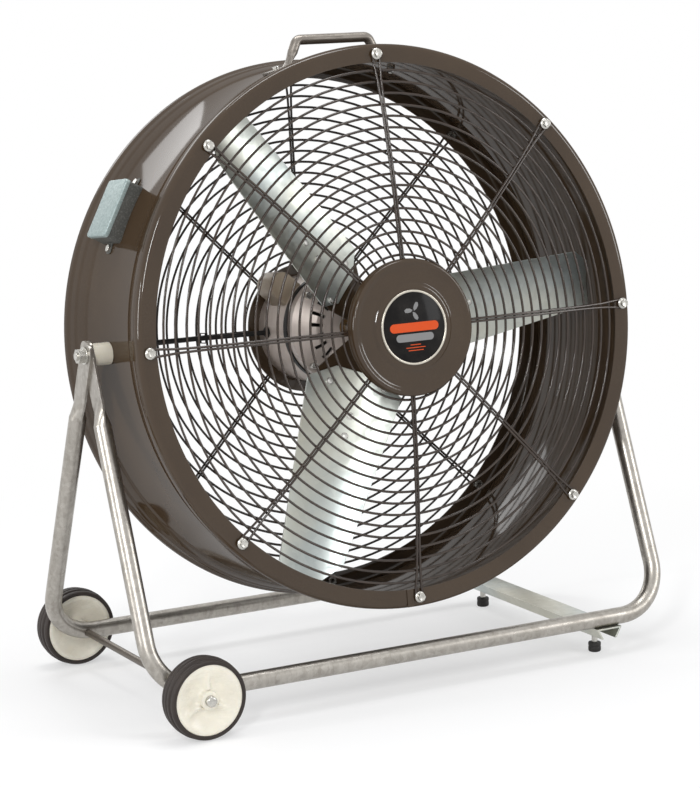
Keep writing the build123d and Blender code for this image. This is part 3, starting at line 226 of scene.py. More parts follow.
def make_edge_mask():
    """Bright where a sharp edge is near, broken up by noise, for rubbed edges."""
    tree, given, result = new_group(
        "rubbed_edges", {"Width": 0.0008, "Strength": 1.0}, ("Mask",),
    )
    soft = tree.nodes.new("ShaderNodeBevel")
    soft.samples = BEVEL_SAMPLES
    tree.links.new(given.outputs["Width"], soft.inputs["Radius"])
    sharp = tree.nodes.new("ShaderNodeNewGeometry")
    dot = tree.nodes.new("ShaderNodeVectorMath")
    dot.operation = "DOT_PRODUCT"
    tree.links.new(soft.outputs["Normal"], dot.inputs[0])
    tree.links.new(sharp.outputs["Normal"], dot.inputs[1])
    nearly_flat, sharply_bent = 0.985, 0.86
    edge = spread_range(tree, dot.outputs["Value"], nearly_flat, sharply_bent)
    breakup = noise(tree, object_point(tree), 60.0, 5.0, 0.7)
    mask = product(tree, edge, spread_range(tree, breakup, 0.4, 0.62))
    tree.links.new(product(tree, mask, given.outputs["Strength"]), result.inputs["Mask"])
    return tree


def make_spangle():
    """Zinc crystals of hot-dip galvanised sheet: a tone and a height for each crystal."""
    tree, given, result = new_group("zinc_spangle", {"Scale": 90.0}, ("Tone", "Height"))
    point = object_point(tree)
    warp = tree.nodes.new("ShaderNodeTexNoise")
    warp.inputs["Scale"].default_value = 40.0
    tree.links.new(point, warp.inputs["Vector"])
    bent = tree.nodes.new("ShaderNodeVectorMath")
    bent.operation = "MULTIPLY_ADD"
    bent.inputs[1].default_value = (0.012, 0.012, 0.012)
    tree.links.new(warp.outputs["Color"], bent.inputs[0])
    tree.links.new(point, bent.inputs[2])
    cells = tree.nodes.new("ShaderNodeTexVoronoi")
    tree.links.new(bent.outputs["Vector"], cells.inputs["Vector"])
    tree.links.new(given.outputs["Scale"], cells.inputs["Scale"])
    separate = tree.nodes.new("ShaderNodeSeparateColor")
    tree.links.new(cells.outputs["Color"], separate.inputs["Color"])
    tree.links.new(separate.outputs["Red"], result.inputs["Tone"])
    frost = noise(tree, point, 900.0, 2.0, 0.5)
    height = reckon(tree, "ADD", separate.outputs["Green"], frost)
    tree.links.new(height, result.inputs["Height"])
    return tree


DUST_TONE = colour(168, 160, 148)
HANDLING_WEAR = make_handling_wear()
RUBBED_EDGES = make_edge_mask()
ZINC_SPANGLE = make_spangle()


class Finish:
    """A material being built, with a Principled shader at its end."""

    def __init__(self, name, base, rough, metal=0.0):
        self.material = bpy.data.materials.new(name)
        self.material.use_nodes = True
        self.tree = self.material.node_tree
        self.shader = self.tree.nodes["Principled BSDF"]
        self.set({"Base Color": base, "Roughness": rough, "Metallic": metal})
        self.base = base
        self.rough = rough
        self.tint = None
        self.height = None

    def set(self, values):
        for name, value in values.items():
            self.shader.inputs[name].default_value = value

    def group(self, tree, **values):
        node = self.tree.nodes.new("ShaderNodeGroup")
        node.node_tree = tree
        for name, value in values.items():
            node.inputs[name].default_value = value
        return node.outputs

    def noise(self, scale, detail=4.0, rough=0.55, stretch=(1.0, 1.0, 1.0)):
        return noise(self.tree, object_point(self.tree, stretch), scale, detail, rough)

    def mix_tint(self, mask, tone, amount=1.0):
        """Lay a colour over the finish where the mask is bright."""
        node = self.tree.nodes.new("ShaderNodeMix")
        node.data_type = "RGBA"
        self.tree.links.new(product(self.tree, mask, amount), node.inputs["Factor"])
        if self.tint is None:
            node.inputs[MIX_BELOW].default_value = self.base
        else:
            self.tree.links.new(self.tint, node.inputs[MIX_BELOW])
        node.inputs[MIX_ABOVE].default_value = tone
        self.tint = node.outputs[MIXED]

    def patches(self, value, low, high, tone, amount):
        """Lay a colour on in patches, where a value climbs from low to high."""
        self.mix_tint(spread_range(self.tree, value, low, high), tone, amount)

    def rub_edges(self, width, strength, tone):
        self.mix_tint(self.group(RUBBED_EDGES, Width=width, Strength=strength)["Mask"], tone)

    def roughen(self, mask, amount):
        """Roughness goes up by amount where the mask is bright."""
        self.rough = reckon(self.tree, "ADD", product(self.tree, mask, amount), self.rough)

    def rough_patches(self, value, low, high, amount):
        self.roughen(spread_range(self.tree, value, low, high), amount)

    def wear(self, scale, dust, smears, dust_tone=DUST_TONE, rough=0.15):
        """Dust in the colour and roughness, smears in the roughness."""
        marks = self.group(HANDLING_WEAR, Scale=scale, Dust=dust, Smears=smears)
        self.mix_tint(marks["Dust"], dust_tone, DUST_COVER)
        self.roughen(marks["Dust"], rough)
        self.roughen(marks["Smear"], rough * SMEAR_SHARE)
        return marks

    def add_height(self, value, amount):
        """Height for the bump, in metres."""
        self.height = product(self.tree, value, amount)

    def done(self, strength, soft=0.0):
        """Wire the finish up; sharp edges are shaded round to the radius soft, in metres."""
        self.tree.links.new(self.tint, self.shader.inputs["Base Color"])
        self.tree.links.new(self.rough, self.shader.inputs["Roughness"])
        bump = self.tree.nodes.new("ShaderNodeBump")
        bump.inputs["Strength"].default_value = strength
        bump.inputs["Distance"].default_value = 1.0
        self.tree.links.new(self.height, bump.inputs["Height"])
        if soft:
            rounded = self.tree.nodes.new("ShaderNodeBevel")
            rounded.samples = BEVEL_SAMPLES
            rounded.inputs["Radius"].default_value = soft
            self.tree.links.new(rounded.outputs["Normal"], bump.inputs["Normal"])
        self.tree.links.new(bump.outputs["Normal"], self.shader.inputs["Normal"])
        return self.material


def enamel_coat(finish, weight, rough):
    """Clear gloss on a base that has none of its own."""
    finish.set({
        "Specular IOR Level": 0.0, "Coat Weight": weight, "Coat IOR": 2.0, "Coat Roughness": rough,
    })


def brown_enamel():
    finish = Finish("brown_enamel", colour(58, 45, 32), 0.5)
    finish.patches(finish.noise(7.0), 0.35, 0.7, colour(68, 54, 39), 0.7)
    finish.wear(1.0, 0.08, 0.5)
    finish.rub_edges(0.001, 0.4, colour(104, 92, 80))
    finish.add_height(finish.noise(190.0, 2.0), 0.00003)
    enamel_coat(finish, 0.3, 0.07)
    return finish.done(0.5, 0.0005)


def wire_enamel():
    finish = Finish("wire_enamel", colour(46, 36, 29), 0.4)
    finish.patches(finish.noise(30.0, 5.0), 0.4, 0.68, colour(60, 47, 37), 0.7)
    finish.wear(2.0, 0.14, 0.5)
    finish.add_height(finish.noise(240.0, 2.0), 0.00003)
    enamel_coat(finish, 0.4, 0.06)
    return finish.done(0.6)


def galvanised_sheet():
    finish = Finish("galvanised_sheet", colour(190, 197, 195), 0.29, 0.92)
    crystal = finish.group(ZINC_SPANGLE, Scale=120.0)
    finish.mix_tint(crystal["Tone"], colour(168, 177, 177), 0.5)
    finish.roughen(crystal["Tone"], 0.1)
    finish.patches(finish.noise(6.0, 5.0), 0.42, 0.66, colour(206, 199, 178), 0.6)
    finish.wear(1.6, 0.2, 0.8)
    finish.rub_edges(0.0008, 0.6, colour(222, 222, 218))
    finish.add_height(crystal["Height"], 0.000004)
    return finish.done(0.5, 0.0006)


def galvanised_tube():
    finish = Finish("galvanised_tube", colour(170, 165, 158), 0.26, 0.95)
    drawn = finish.noise(46.0, 7.0, 0.7, (2.2, 2.2, 0.5))
    finish.patches(drawn, 0.36, 0.68, colour(128, 123, 115), 0.7)
    finish.rough_patches(drawn, 0.35, 0.7, 0.14)
    crystal = finish.group(ZINC_SPANGLE, Scale=190.0)
    finish.mix_tint(crystal["Tone"], colour(204, 201, 194), 0.3)
    marks = finish.wear(1.4, 0.25, 0.7)
    finish.add_height(marks["Pits"], 0.00004)
    return finish.done(0.6, 0.0006)


def speckled_zinc():
    """Pale blue-grey zinc with fine dark and bright specks, on the wiring box's lid."""
    finish = Finish("speckled_zinc", colour(158, 172, 171), 0.4, 0.6)
    crystal = finish.group(ZINC_SPANGLE, Scale=420.0)
    finish.mix_tint(crystal["Tone"], colour(126, 142, 142), 0.7)
    speck = finish.noise(520.0, 3.0, 0.7)
    finish.patches(speck, 0.55, 0.7, colour(196, 206, 204), 0.7)
    finish.roughen(crystal["Tone"], 0.14)
    finish.wear(3.0, 0.3, 0.7)
    finish.rub_edges(0.0008, 0.6, colour(218, 220, 216))
    finish.add_height(speck, 0.00003)
    return finish.done(0.6, 0.0006)


def painted_shade_sheet():
    """Dark grey with fine specks on the wiring box's body: painted shade, the body darkened as if
    its sides lay in shade beside the pale lid.
    """
    finish = Finish("painted_shade_sheet", colour(70, 70, 67), 0.5, 0.1)
    speck = finish.noise(460.0, 3.0, 0.7)
    finish.patches(speck, 0.5, 0.68, colour(112, 112, 107), 0.7)
    finish.wear(3.0, 0.3, 0.7)
    finish.rub_edges(0.0008, 0.5, colour(150, 150, 144))
    finish.add_height(speck, 0.00003)
    finish.set({"Specular IOR Level": 0.3})
    return finish.done(0.6, 0.0006)


def rivet_aluminium():
    finish = Finish("rivet_aluminium", colour(236, 235, 230), 0.3, 0.55)
    dull = finish.noise(260.0)
    finish.patches(dull, 0.42, 0.7, colour(204, 203, 198), 0.6)
    finish.rough_patches(dull, 0.4, 0.7, 0.2)
    finish.wear(5.0, 0.2, 0.6)
    finish.add_height(dull, 0.00003)
    return finish.done(0.6)


def handle_steel():
    finish = Finish("handle_steel", colour(146, 140, 133), 0.28, 0.95)
    drawn = finish.noise(70.0, 6.0, 0.65, (0.4, 3.0, 3.0))
    finish.patches(drawn, 0.4, 0.66, colour(98, 92, 86), 0.75)
    finish.rough_patches(drawn, 0.35, 0.7, 0.16)
    marks = finish.wear(2.4, 0.25, 0.8)
    finish.rub_edges(0.0008, 0.5, colour(196, 192, 186))
    finish.add_height(marks["Pits"], 0.00004)
    return finish.done(0.6, 0.0008)


def zinc_plate():
    finish = Finish("zinc_plate", colour(202, 200, 194), 0.26, 0.95)
    cloud = finish.noise(160.0)
    finish.patches(cloud, 0.4, 0.66, colour(158, 157, 152), 0.6)
    finish.wear(4.0, 0.3, 0.6)
    finish.rub_edges(0.0005, 0.6, colour(232, 230, 224))
    finish.add_height(cloud, 0.00002)
    return finish.done(0.6, 0.0007)


def dull_steel():
    finish = Finish("dull_steel", colour(112, 105, 97), 0.38, 0.95)
    turning = finish.noise(180.0, 3.0, stretch=(1.0, 14.0, 1.0))
    finish.patches(turning, 0.4, 0.66, colour(84, 78, 71), 0.6)
    finish.wear(3.0, 0.3, 0.6)
    finish.add_height(turning, 0.00002)
    return finish.done(0.6, 0.0005)


def cast_metal(name, base, dark, metal, rough=0.42):
    finish = Finish(name, base, rough, metal)
    finish.patches(finish.noise(28.0), 0.4, 0.7, dark, 0.5)
    finish.wear(2.0, 0.3, 0.5)
    finish.rub_edges(0.001, 0.4, colour(214, 206, 198))
    finish.add_height(finish.noise(520.0, 3.0), 0.00006)
    return finish.done(0.8, 0.0008)


def moulded_plastic(name, base, shade, rough):
    finish = Finish(name, base, rough)
    finish.patches(finish.noise(24.0), 0.4, 0.7, shade, 0.6)
    finish.wear(2.0, 0.4, 0.6, colour(150, 140, 124))
    finish.add_height(finish.noise(700.0, 2.0), 0.00002)
    finish.set({"Subsurface Weight": 0.08, "Subsurface Radius": (0.003, 0.002, 0.001)})
    return finish.done(0.5, 0.0008)


def rubber(name, base, worn_tone, dust):
    finish = Finish(name, base, 0.55)
    finish.patches(finish.noise(30.0, 5.0), 0.4, 0.7, worn_tone, 0.5)
    finish.wear(2.2, dust, 0.5, colour(140, 132, 120), 0.2)
    finish.add_height(finish.noise(800.0, 3.0), 0.00005)
    finish.set({"Specular IOR Level": 0.35})
    return finish.done(0.8, 0.0006)


def printed(name, base, rough, metal=0.0):
    """Badge enamel: even colour with a fine print grain and light scratches."""
    finish = Finish(name, base, rough, metal)
    grain = finish.noise(900.0, 2.0)
    finish.rough_patches(grain, 0.4, 0.65, 0.08)
    finish.wear(4.0, 0.2, 0.6)
    finish.add_height(grain, 0.00001)
    finish.set({"Specular IOR Level": 0.1, "Coat Weight": 0.08, "Coat Roughness": 0.1})
    return finish.done(0.4)


# Finishes under the names of the material slots, and those that single pieces pick
FINISHES = {
    "brown_paint": brown_enamel(),
    "wire": wire_enamel(),
    "galvanized": galvanised_sheet(),
    "bright_tube": galvanised_tube(),
    "handle_steel": handle_steel(),
    "speckled_zinc": speckled_zinc(),
    "painted_shade_sheet": painted_shade_sheet(),
    "rivet": rivet_aluminium(),
    "zinc": zinc_plate(),
    "axle_steel": dull_steel(),
    "motor_paint": cast_metal(
        "motor_enamel", colour(202, 188, 178), colour(172, 158, 149), 0.25, 0.36,
    ),
    "cast_silver": cast_metal(
        "cast_silver", colour(208, 196, 188), colour(184, 172, 164), 0.3, 0.38,
    ),
    "cream_plastic": moulded_plastic(
        "cream_plastic", colour(232, 227, 212), colour(212, 206, 190), 0.26,
    ),
    "nylon": moulded_plastic("nylon", colour(214, 208, 192), colour(196, 188, 170), 0.42),
    "tyre_rubber": rubber("tyre_rubber", colour(42, 35, 32), colour(56, 47, 42), 0.3),
    "black_rubber": rubber("black_rubber", colour(28, 27, 26), colour(44, 42, 40), 0.25),
    "core_iron": cast_metal("core_iron", colour(92, 88, 84), colour(66, 62, 58), 0.7),
    "badge": printed("badge_black", colour(15, 13, 13), 0.5),
    "badge_orange": printed("badge_orange", colour(204, 78, 34), 0.4),
    "badge_grey": printed("badge_grey", colour(128, 128, 128), 0.35),
    "badge_rim": printed("badge_rim", colour(196, 190, 178), 0.28, 0.8),
    "tan_paint": cast_metal("tan_paint", colour(160, 145, 126), colour(132, 117, 100), 0.1),
    "bronze": cast_metal("bronze", colour(150, 118, 78), colour(112, 86, 56), 0.85),
}


# Modelling helpers


def deselect():
    if bpy.context.object and bpy.context.object.mode != "OBJECT":
        bpy.ops.object.mode_set(mode="OBJECT")
    bpy.ops.object.select_all(action="DESELECT")


def pick(*things):
    deselect()
    for thing in things:
        thing.select_set(True)
    bpy.context.view_layer.objects.active = things[0]


def edit(thing):
    pick(thing)
    bpy.ops.object.mode_set(mode="EDIT")
    bpy.ops.mesh.select_mode(type="VERT")
    bpy.ops.mesh.select_all(action="SELECT")


def leave():
    bpy.ops.object.mode_set(mode="OBJECT")


def label(thing, name):
    thing.name = name
    thing.data.name = name


def freeze():
    """Write the picked object's move, turn and size into its mesh."""
    bpy.ops.object.transform_apply(location=True, rotation=True, scale=True)


def settle(thing, place):
    """Put the piece in its place and bring its object back to the origin."""
    pick(thing)
    thing.matrix_world = place @ thing.matrix_world
    freeze()


def apply_modifier(thing, kind, **values):
    pick(thing)
    modifier = thing.modifiers.new(kind.title(), kind)
    for name, value in values.items():
        setattr(modifier, name, value)
    bpy.ops.object.modifier_apply(modifier=modifier.name)


def round_edges(thing, width, segments=2, angle=30):
    apply_modifier(
        thing, "BEVEL", width=width, segments=segments, limit_method="ANGLE",
        angle_limit=math.radians(angle), use_clamp_overlap=True,
    )


def smooth(thing, angle=35):
    pick(thing)
    bpy.ops.object.shade_smooth_by_angle(angle=math.radians(angle))


def copy_of(thing):
    pick(thing)
    bpy.ops.object.duplicate(linked=False)
    return bpy.context.object


def joined(things, name):
    pick(*things)
    bpy.ops.object.join()
    label(things[0], name)
    return things[0]


def round_the_axis(thing, angles, name):
    """Copies of a piece drawn on +X, turned about Y to each angle, +X towards +Z."""
    copies = []
    for angle in angles:
        copy = copy_of(thing)
        copy.rotation_euler.y = -math.radians(angle)
        freeze()
        copies.append(copy)
    bpy.data.objects.remove(thing)
    return joined(copies, name)


def round_the_guard(thing, name):
    return round_the_axis(thing, [360 * index / SPOKE_COUNT for index in range(SPOKE_COUNT)], name)


def select_faces(thing, test):
    """In edit mode, leave only the faces selected whose normal passes the test."""
    bpy.ops.mesh.select_mode(type="FACE")
    bpy.ops.mesh.select_all(action="DESELECT")
    leave()
    for face in thing.data.polygons:
        face.select = test(face.normal)
    bpy.ops.object.mode_set(mode="EDIT")


def pull_along(points):
    """In edit mode, extrude what is selected from each point to the next."""
    for here, there in zip(points, points[1:]):
        bpy.ops.mesh.extrude_region_move(TRANSFORM_OT_translate={"value": there - here})


def spin_all(steps):
    bpy.ops.mesh.select_all(action="SELECT")
    bpy.ops.mesh.spin(steps=steps, angle=2 * math.pi, center=(0, 0, 0), axis=(0, 1, 0))


def weld():
    """Join the points that meet, turn the normals outward and leave edit mode."""
    bpy.ops.mesh.select_all(action="SELECT")
    bpy.ops.mesh.remove_doubles(threshold=WELD_GAP)
    bpy.ops.mesh.normals_make_consistent(inside=False)
    leave()


def mirrored(outline):
    """An outline of (radius, y), followed by its mirror image on the way back."""
    return outline + [(radius, -y) for radius, y in reversed(outline)]


def turned(name, outline, steps=96, edge=0.0, closed=True):
    """Trace an outline of (radius, y) by extruding one point, and spin it about the Y axis."""
    corners = [Vector((radius, y, 0.0)) for radius, y in outline]
    deselect()
    bpy.ops.mesh.primitive_plane_add(size=0.0002, location=corners[0])
    piece = bpy.context.object
    label(piece, name)
    freeze()
    edit(piece)
    bpy.ops.mesh.merge(type="CENTER")
    pull_along(corners + corners[:1] if closed else corners)
    bpy.ops.mesh.select_all(action="SELECT")
    bpy.ops.mesh.remove_doubles(threshold=OUTLINE_GAP)
    spin_all(steps)
    weld()
    if edge:
        round_edges(piece, edge)
    return piece


def block(place, size):
    """Cube stretched to a size."""
    deselect()
    bpy.ops.mesh.primitive_cube_add(size=1.0, location=place)
    piece = bpy.context.object
    piece.scale = size
    freeze()
    return piece


def open_inner_side(piece):
    """Take off the side that faces -X."""
    edit(piece)
    select_faces(piece, lambda normal: normal.x < -ALIGNED)
    bpy.ops.mesh.delete(type="FACE")
    leave()


def bevel_lines(piece, test, radius, segments):
    """Bevel the edges whose two ends pass the test."""
    edit(piece)
    bpy.ops.mesh.select_mode(type="EDGE")
    bpy.ops.mesh.select_all(action="DESELECT")
    leave()
    points = piece.data.vertices
    for line in piece.data.edges:
        line.select = test(*(points[index].co for index in line.vertices))
    bpy.ops.object.mode_set(mode="EDIT")
    bpy.ops.mesh.bevel(offset=radius, segments=segments)
    leave()


def round_corners(piece, radius):
    """Bevel the four corners that run along X."""

    def across(one, two):
        return abs(one.x - two.x) > ALIGNED * (one - two).length

    bevel_lines(piece, across, radius, 5)


def fit_to_cylinder(piece, radius, y, sides):
    """Cut away what lies within a radius of the Y axis."""
    bpy.ops.mesh.primitive_cylinder_add(
        vertices=sides, radius=radius, depth=CUTTER_LENGTH, location=(0, y, 0),
        rotation=(math.pi / 2, 0, 0),
    )
    cutter = bpy.context.object
    apply_modifier(piece, "BOOLEAN", operation="DIFFERENCE", object=cutter, solver="EXACT")
    bpy.data.objects.remove(cutter)


def dress(piece, body, finish, nodes, angle=35):
    """Smooth the piece, give it its finish and hang it on its body in place of CAD nodes."""
    smooth(piece, angle)
    piece.data.materials.clear()
    piece.data.materials.append(FINISHES[finish])
    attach(piece, body)
    if nodes:
        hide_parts(*nodes)


# Guards


def dome_height(radius, rise):
    """Height of the face that the spokes lie on."""
    if radius >= DOME_FOOT:
        return HALF_LENGTH
    share = (DOME_FOOT**2 - radius**2) / (DOME_FOOT**2 - DOME_FLAT**2)
    return HALF_LENGTH + rise * min(1.0, share)


def guard_rings(name, rise):
    """Round wires: their cut ends stand in a row and one spin makes them all."""
    deselect()
    bpy.ops.mesh.primitive_circle_add(vertices=WIRE_SIDES, radius=WIRE / 2, location=(0, 0, 0))
    rings = bpy.context.object
    label(rings, name)
    edit(rings)
    bpy.ops.mesh.delete(type="VERT")
    for index in range(RING_COUNT):
        radius = FIRST_RING + index * RING_PITCH
        place = (radius, dome_height(radius, rise) + RING_SINK - WIRE / 2, 0)
        bpy.ops.mesh.primitive_circle_add(vertices=WIRE_SIDES, radius=WIRE / 2, location=place)
    spin_all(RING_STEPS)
    weld()
    return rings


def guard_spokes(name, rise):
    """Hairpins: a wire end extruded out along the dome, spun round the bolt and back."""
    radii = [0.078, 0.088, 0.12, 0.16, 0.2, 0.24, 0.28, 0.31, 0.326, 0.333, BOLT_CIRCLE]

    def leg(side):
        points = []
        for radius in radii:
            share = max(0.0, (radius - SPOKE_FLARE_START) / (BOLT_CIRCLE - SPOKE_FLARE_START))
            across = SPOKE_HUB_HALF + (SPOKE_LOOP_HALF - SPOKE_HUB_HALF) * share
            points.append(Vector((radius, dome_height(radius, rise) + WIRE / 2, side * across)))
        return points

    outward = leg(-1)
    deselect()
    bpy.ops.mesh.primitive_circle_add(
        vertices=WIRE_SIDES, radius=WIRE / 2, fill_type="NGON", location=outward[0],
        rotation=(0, math.pi / 2, 0),
    )
    spoke = bpy.context.object
    freeze()
    edit(spoke)
    pull_along(outward)
    centre = (BOLT_CIRCLE, HALF_LENGTH + WIRE / 2, 0.0)
    bpy.ops.mesh.spin(steps=LOOP_STEPS, angle=-math.pi, center=centre, axis=(0, 1, 0))
    pull_along(leg(1)[::-1])
    weld()
    return round_the_guard(spoke, name)


def flange_bolts(name):
    """Flanged heads, each with a hexagon that is domed and dimpled."""
    seat = HALF_LENGTH + WIRE
    head_radius, head_height, head_middle = 0.0053, 0.0044, seat + 0.0042
    flange = turned("bolt_flange", [
        (0.0, seat), (0.0072, seat), (0.0072, seat + 0.0009), (0.0056, seat + 0.0021),
        (0.0, seat + 0.0021),
    ], steps=24, edge=0.0003)
    deselect()
    bpy.ops.mesh.primitive_cylinder_add(
        vertices=6, radius=head_radius, depth=head_height, location=(0, head_middle, 0),
        rotation=(math.pi / 2, 0, 0),
    )
    head = bpy.context.object
    freeze()
    edit(head)
    select_faces(head, lambda normal: normal.y > ALIGNED)
    bpy.ops.mesh.inset(thickness=0.0009, depth=0.0)
    bpy.ops.mesh.inset(thickness=0.0012, depth=-0.0008)
    leave()
    round_edges(head, 0.0005)
    bolt = joined([flange, head], "bolt_head")
    settle(bolt, Matrix.Translation((BOLT_CIRCLE, 0, 0)))
    return round_the_guard(bolt, name)


def make_guards():
    for end, rise, turn in (("front", FRONT_RISE, TO_FRONT), ("rear", REAR_RISE, AS_DRAWN)):
        rings = guard_rings(end + "_ring_wires", rise)
        settle(rings, TILTED @ turn)
        dress(rings, "drum", "wire", [end + "_guard_rings"], 60)
        spokes = guard_spokes(end + "_spoke_wires", rise)
        settle(spokes, TILTED @ turn)
        dress(spokes, "drum", "wire", [end + "_guard_spokes"], 60)
        bolts = flange_bolts(end + "_flange_bolts")
        settle(bolts, TILTED @ turn)
        dress(bolts, "drum", "zinc", [end + "_guard_bolts"])


# Drum


def make_drum():
    """Rolled drum with soft beads at the shoulders and rims and a flat turned-in lip."""
    half = [
        (0.3325, 0.1180), (0.3490, 0.1180), (0.3508, 0.1178), (0.3525, 0.1171),
        (0.3540, 0.1160), (0.3551, 0.1145), (0.3558, 0.1128), (0.3560, 0.1110),
        (0.3560, 0.1066), (0.3558, 0.1044), (0.3552, 0.1024), (0.3544, 0.1008),
        (0.3537, 0.0994), (0.3533, 0.0978), (0.3531, 0.0960), (0.3524, 0.0890),
        (0.3520, 0.0872), (0.3513, 0.0856), (0.3505, 0.0842), (0.3500, 0.0826),
        (0.3497, 0.0808), (0.3470, 0.0680), (0.3464, 0.0660), (0.3456, 0.0644),
        (0.3449, 0.0630), (0.3445, 0.0612),
    ]
    drum = turned("drum_skin", mirrored(half), steps=DRUM_STEPS, closed=False)
    apply_modifier(drum, "SOLIDIFY", thickness=DRUM_SHEET, offset=-1.0, use_even_offset=True)
    round_edges(drum, 0.0005, angle=50)
    settle(drum, TILTED)
    dress(drum, "drum", "brown_paint", ["drum_shell"], 40)


def make_hub_cover():
    """Pressed cover with a rolled rim, a dished band and a raised middle."""
    front = COVER_FRONT
    cover = turned("pressed_hub_cover", [
        (0.0844, COVER_BACK), (0.0860, COVER_BACK), (0.0860, front - 0.0040),
        (0.0852, front - 0.0014), (0.0832, front - 0.0002), (0.0812, front - 0.0001),
        (0.0790, front - 0.0012), (0.0762, front - 0.0028), (0.0735, front - 0.0030),
        (0.0580, front - 0.0030), (0.0560, front - 0.0026), (0.0542, front - 0.0008),
        (0.0528, front), (0.0505, front), (0.0, front), (0.0, front - 0.0046),
        (0.0844, front - 0.0046),
    ], steps=128)
    settle(cover, TILTED @ TO_FRONT)
    dress(cover, "drum", "brown_paint", ["hub_cover"], 50)


def inlay(name, outline, y):
    """Flat inlay on the badge, from (across, up) corners, seen from the front."""
    deselect()
    bpy.ops.mesh.primitive_circle_add(vertices=len(outline), radius=0.01, fill_type="NGON")
    piece = bpy.context.object
    piece.name = name
    for corner, (across, up) in zip(piece.data.vertices, outline):
        corner.co = (across, y, up)
    edit(piece)
    bpy.ops.mesh.normals_make_consistent(inside=False)
    bpy.ops.mesh.extrude_region_move(TRANSFORM_OT_translate={"value": (0, -INLAY_THICKNESS, 0)})
    bpy.ops.mesh.select_all(action="SELECT")
    bpy.ops.mesh.normals_make_consistent(inside=False)
    leave()
    return piece


def bar(name, half_width, half_height, up, y):
    """Inlaid bar with round ends."""
    steps = 8
    points = []
    for side in (1, -1):
        for step in range(steps + 1):
            angle = math.radians(-90 + 180 * step / steps)
            points.append((
                side * (half_width - half_height + half_height * math.cos(angle)),
                up + side * half_height * math.sin(angle),
            ))
    return inlay(name, points, y)


def make_badge():
    """Round badge: pale rim, black face, and a plain set of orange and grey bars and vanes."""
    back = COVER_FRONT
    face_top = back + BADGE_THICKNESS
    rim = turned("badge_bezel", [
        (0.0440, back), (0.0470, back), (0.0470, face_top), (0.0462, back + 0.0020),
        (0.0450, back + 0.0020), (0.0444, back + 0.0014), (0.0440, back + 0.0011),
    ], steps=128)
    settle(rim, TILTED @ TO_FRONT)
    dress(rim, "drum", "badge_rim", ["medallion"], 60)
    face = turned("badge_face", [
        (0.0, back), (0.0445, back), (0.0445, back + 0.0009), (0.0440, face_top), (0.0, face_top),
    ])
    settle(face, TILTED @ TO_FRONT)
    dress(face, "drum", "badge", ["medallion"])
    vane = inlay("badge_vane", [
        (0.0012, 0.0), (0.0050, 0.0022), (0.0078, 0.0062), (0.0076, 0.0102), (0.0046, 0.0108),
        (0.0020, 0.0076), (0.0006, 0.0034),
    ], 0.0)
    vanes = round_the_axis(vane, [0, 120, 240], "badge_vanes")
    settle(vanes, TILTED @ Matrix.Translation((0, -face_top, 0.0205)))
    dress(vanes, "drum", "badge_grey", ())
    orange = [bar("badge_bar", 0.0350, 0.0056, 0.0005, -face_top)]
    for half_width, up in ((0.0075, -0.0215), (0.0140, -0.0250), (0.0110, -0.0285)):
        orange.append(bar("badge_rule", half_width, 0.0005, up, -face_top))
    bars = joined(orange, "badge_orange_bars")
    settle(bars, TILTED)
    dress(bars, "drum", "badge_orange", ())
    grey = bar("badge_grey_bar", 0.0270, 0.0048, -0.0125, -face_top)
    settle(grey, TILTED)
    dress(grey, "drum", "badge_grey", ())


# Wheels


def press_star(hub):
    """Raise three ridges out of the dish's outer face, which run from the boss to the rim."""
    boss, rim, height, width = 0.0120, 0.0390, 0.0080, 0.0044
    first, apart = 30, 120
    for corner in hub.data.vertices:
        radius = math.hypot(corner.co.x, corner.co.z)
        if corner.co.y < 0.0 or not boss < radius < rim:
            continue
        turn = math.degrees(math.atan2(corner.co.z, corner.co.x))
        off_ridge = (turn - first + apart / 2) % apart - apart / 2
        aside = radius * math.sin(math.radians(off_ridge))
        corner.co.y += height * math.exp(-(aside / width) ** 2) * (rim - radius) / (rim - boss)


def make_wheels():
    """Tyres with a grooved tread on dished hubs, both drawn about the middle of the wheel."""
    tread = [
        (0.0440, -0.0160), (0.0478, -0.0160), (0.0494, -0.0140), (0.0496, -0.0100),
        (0.0486, -0.0092), (0.0486, -0.0072), (0.0505, -0.0064), (0.0508, -0.0040),
        (0.0506, -0.0014), (0.0494, -0.0008),
    ]
    face = [
        (0.0049, 0.0170), (0.0108, 0.0170), (0.0112, 0.0166), (0.0116, 0.0120), (0.0140, 0.0078),
        (0.0170, 0.0074), (0.0200, 0.0076), (0.0230, 0.0082), (0.0260, 0.0092), (0.0290, 0.0104),
        (0.0320, 0.0118), (0.0345, 0.0130), (0.0370, 0.0142), (0.0392, 0.0151), (0.0420, 0.0152),
        (0.0438, 0.0148), (0.0440, 0.0140),
    ]
    for end, turn in (("rear", AS_DRAWN), ("front", TO_FRONT)):
        body = end + "_wheel"
        place = ON_AXLE @ turn @ Matrix.Translation((0, WHEEL_MIDDLE, 0))
        tyre = turned(body + "_tyre_rubber", mirrored(tread), edge=0.0003)
        settle(tyre, place)
        dress(tyre, body, "tyre_rubber", [end + "_tyre"], 40)
        hub = turned(body + "_centre", mirrored(face), steps=120)
        press_star(hub)
        settle(hub, place)
        dress(hub, body, "cream_plastic", [body + "_hub"], 60)


def make_axle_caps():
    start = 0.2122
    cap = turned("axle_cap", [
        (0.0, start), (0.0070, start), (0.0071, start + 0.0010), (0.0070, start + 0.0042),
        (0.0062, start + 0.0058), (0.0044, start + 0.0067), (0.0020, start + 0.0070),
        (0.0, start + 0.0070),
    ], steps=32)
    other = copy_of(cap)
    settle(other, TO_FRONT)
    caps = joined([cap, other], "push_on_caps")
    settle(caps, ON_AXLE)
    dress(caps, "stand", "zinc", ["axle_caps"], 60)


# Motor, blades, wiring and feet


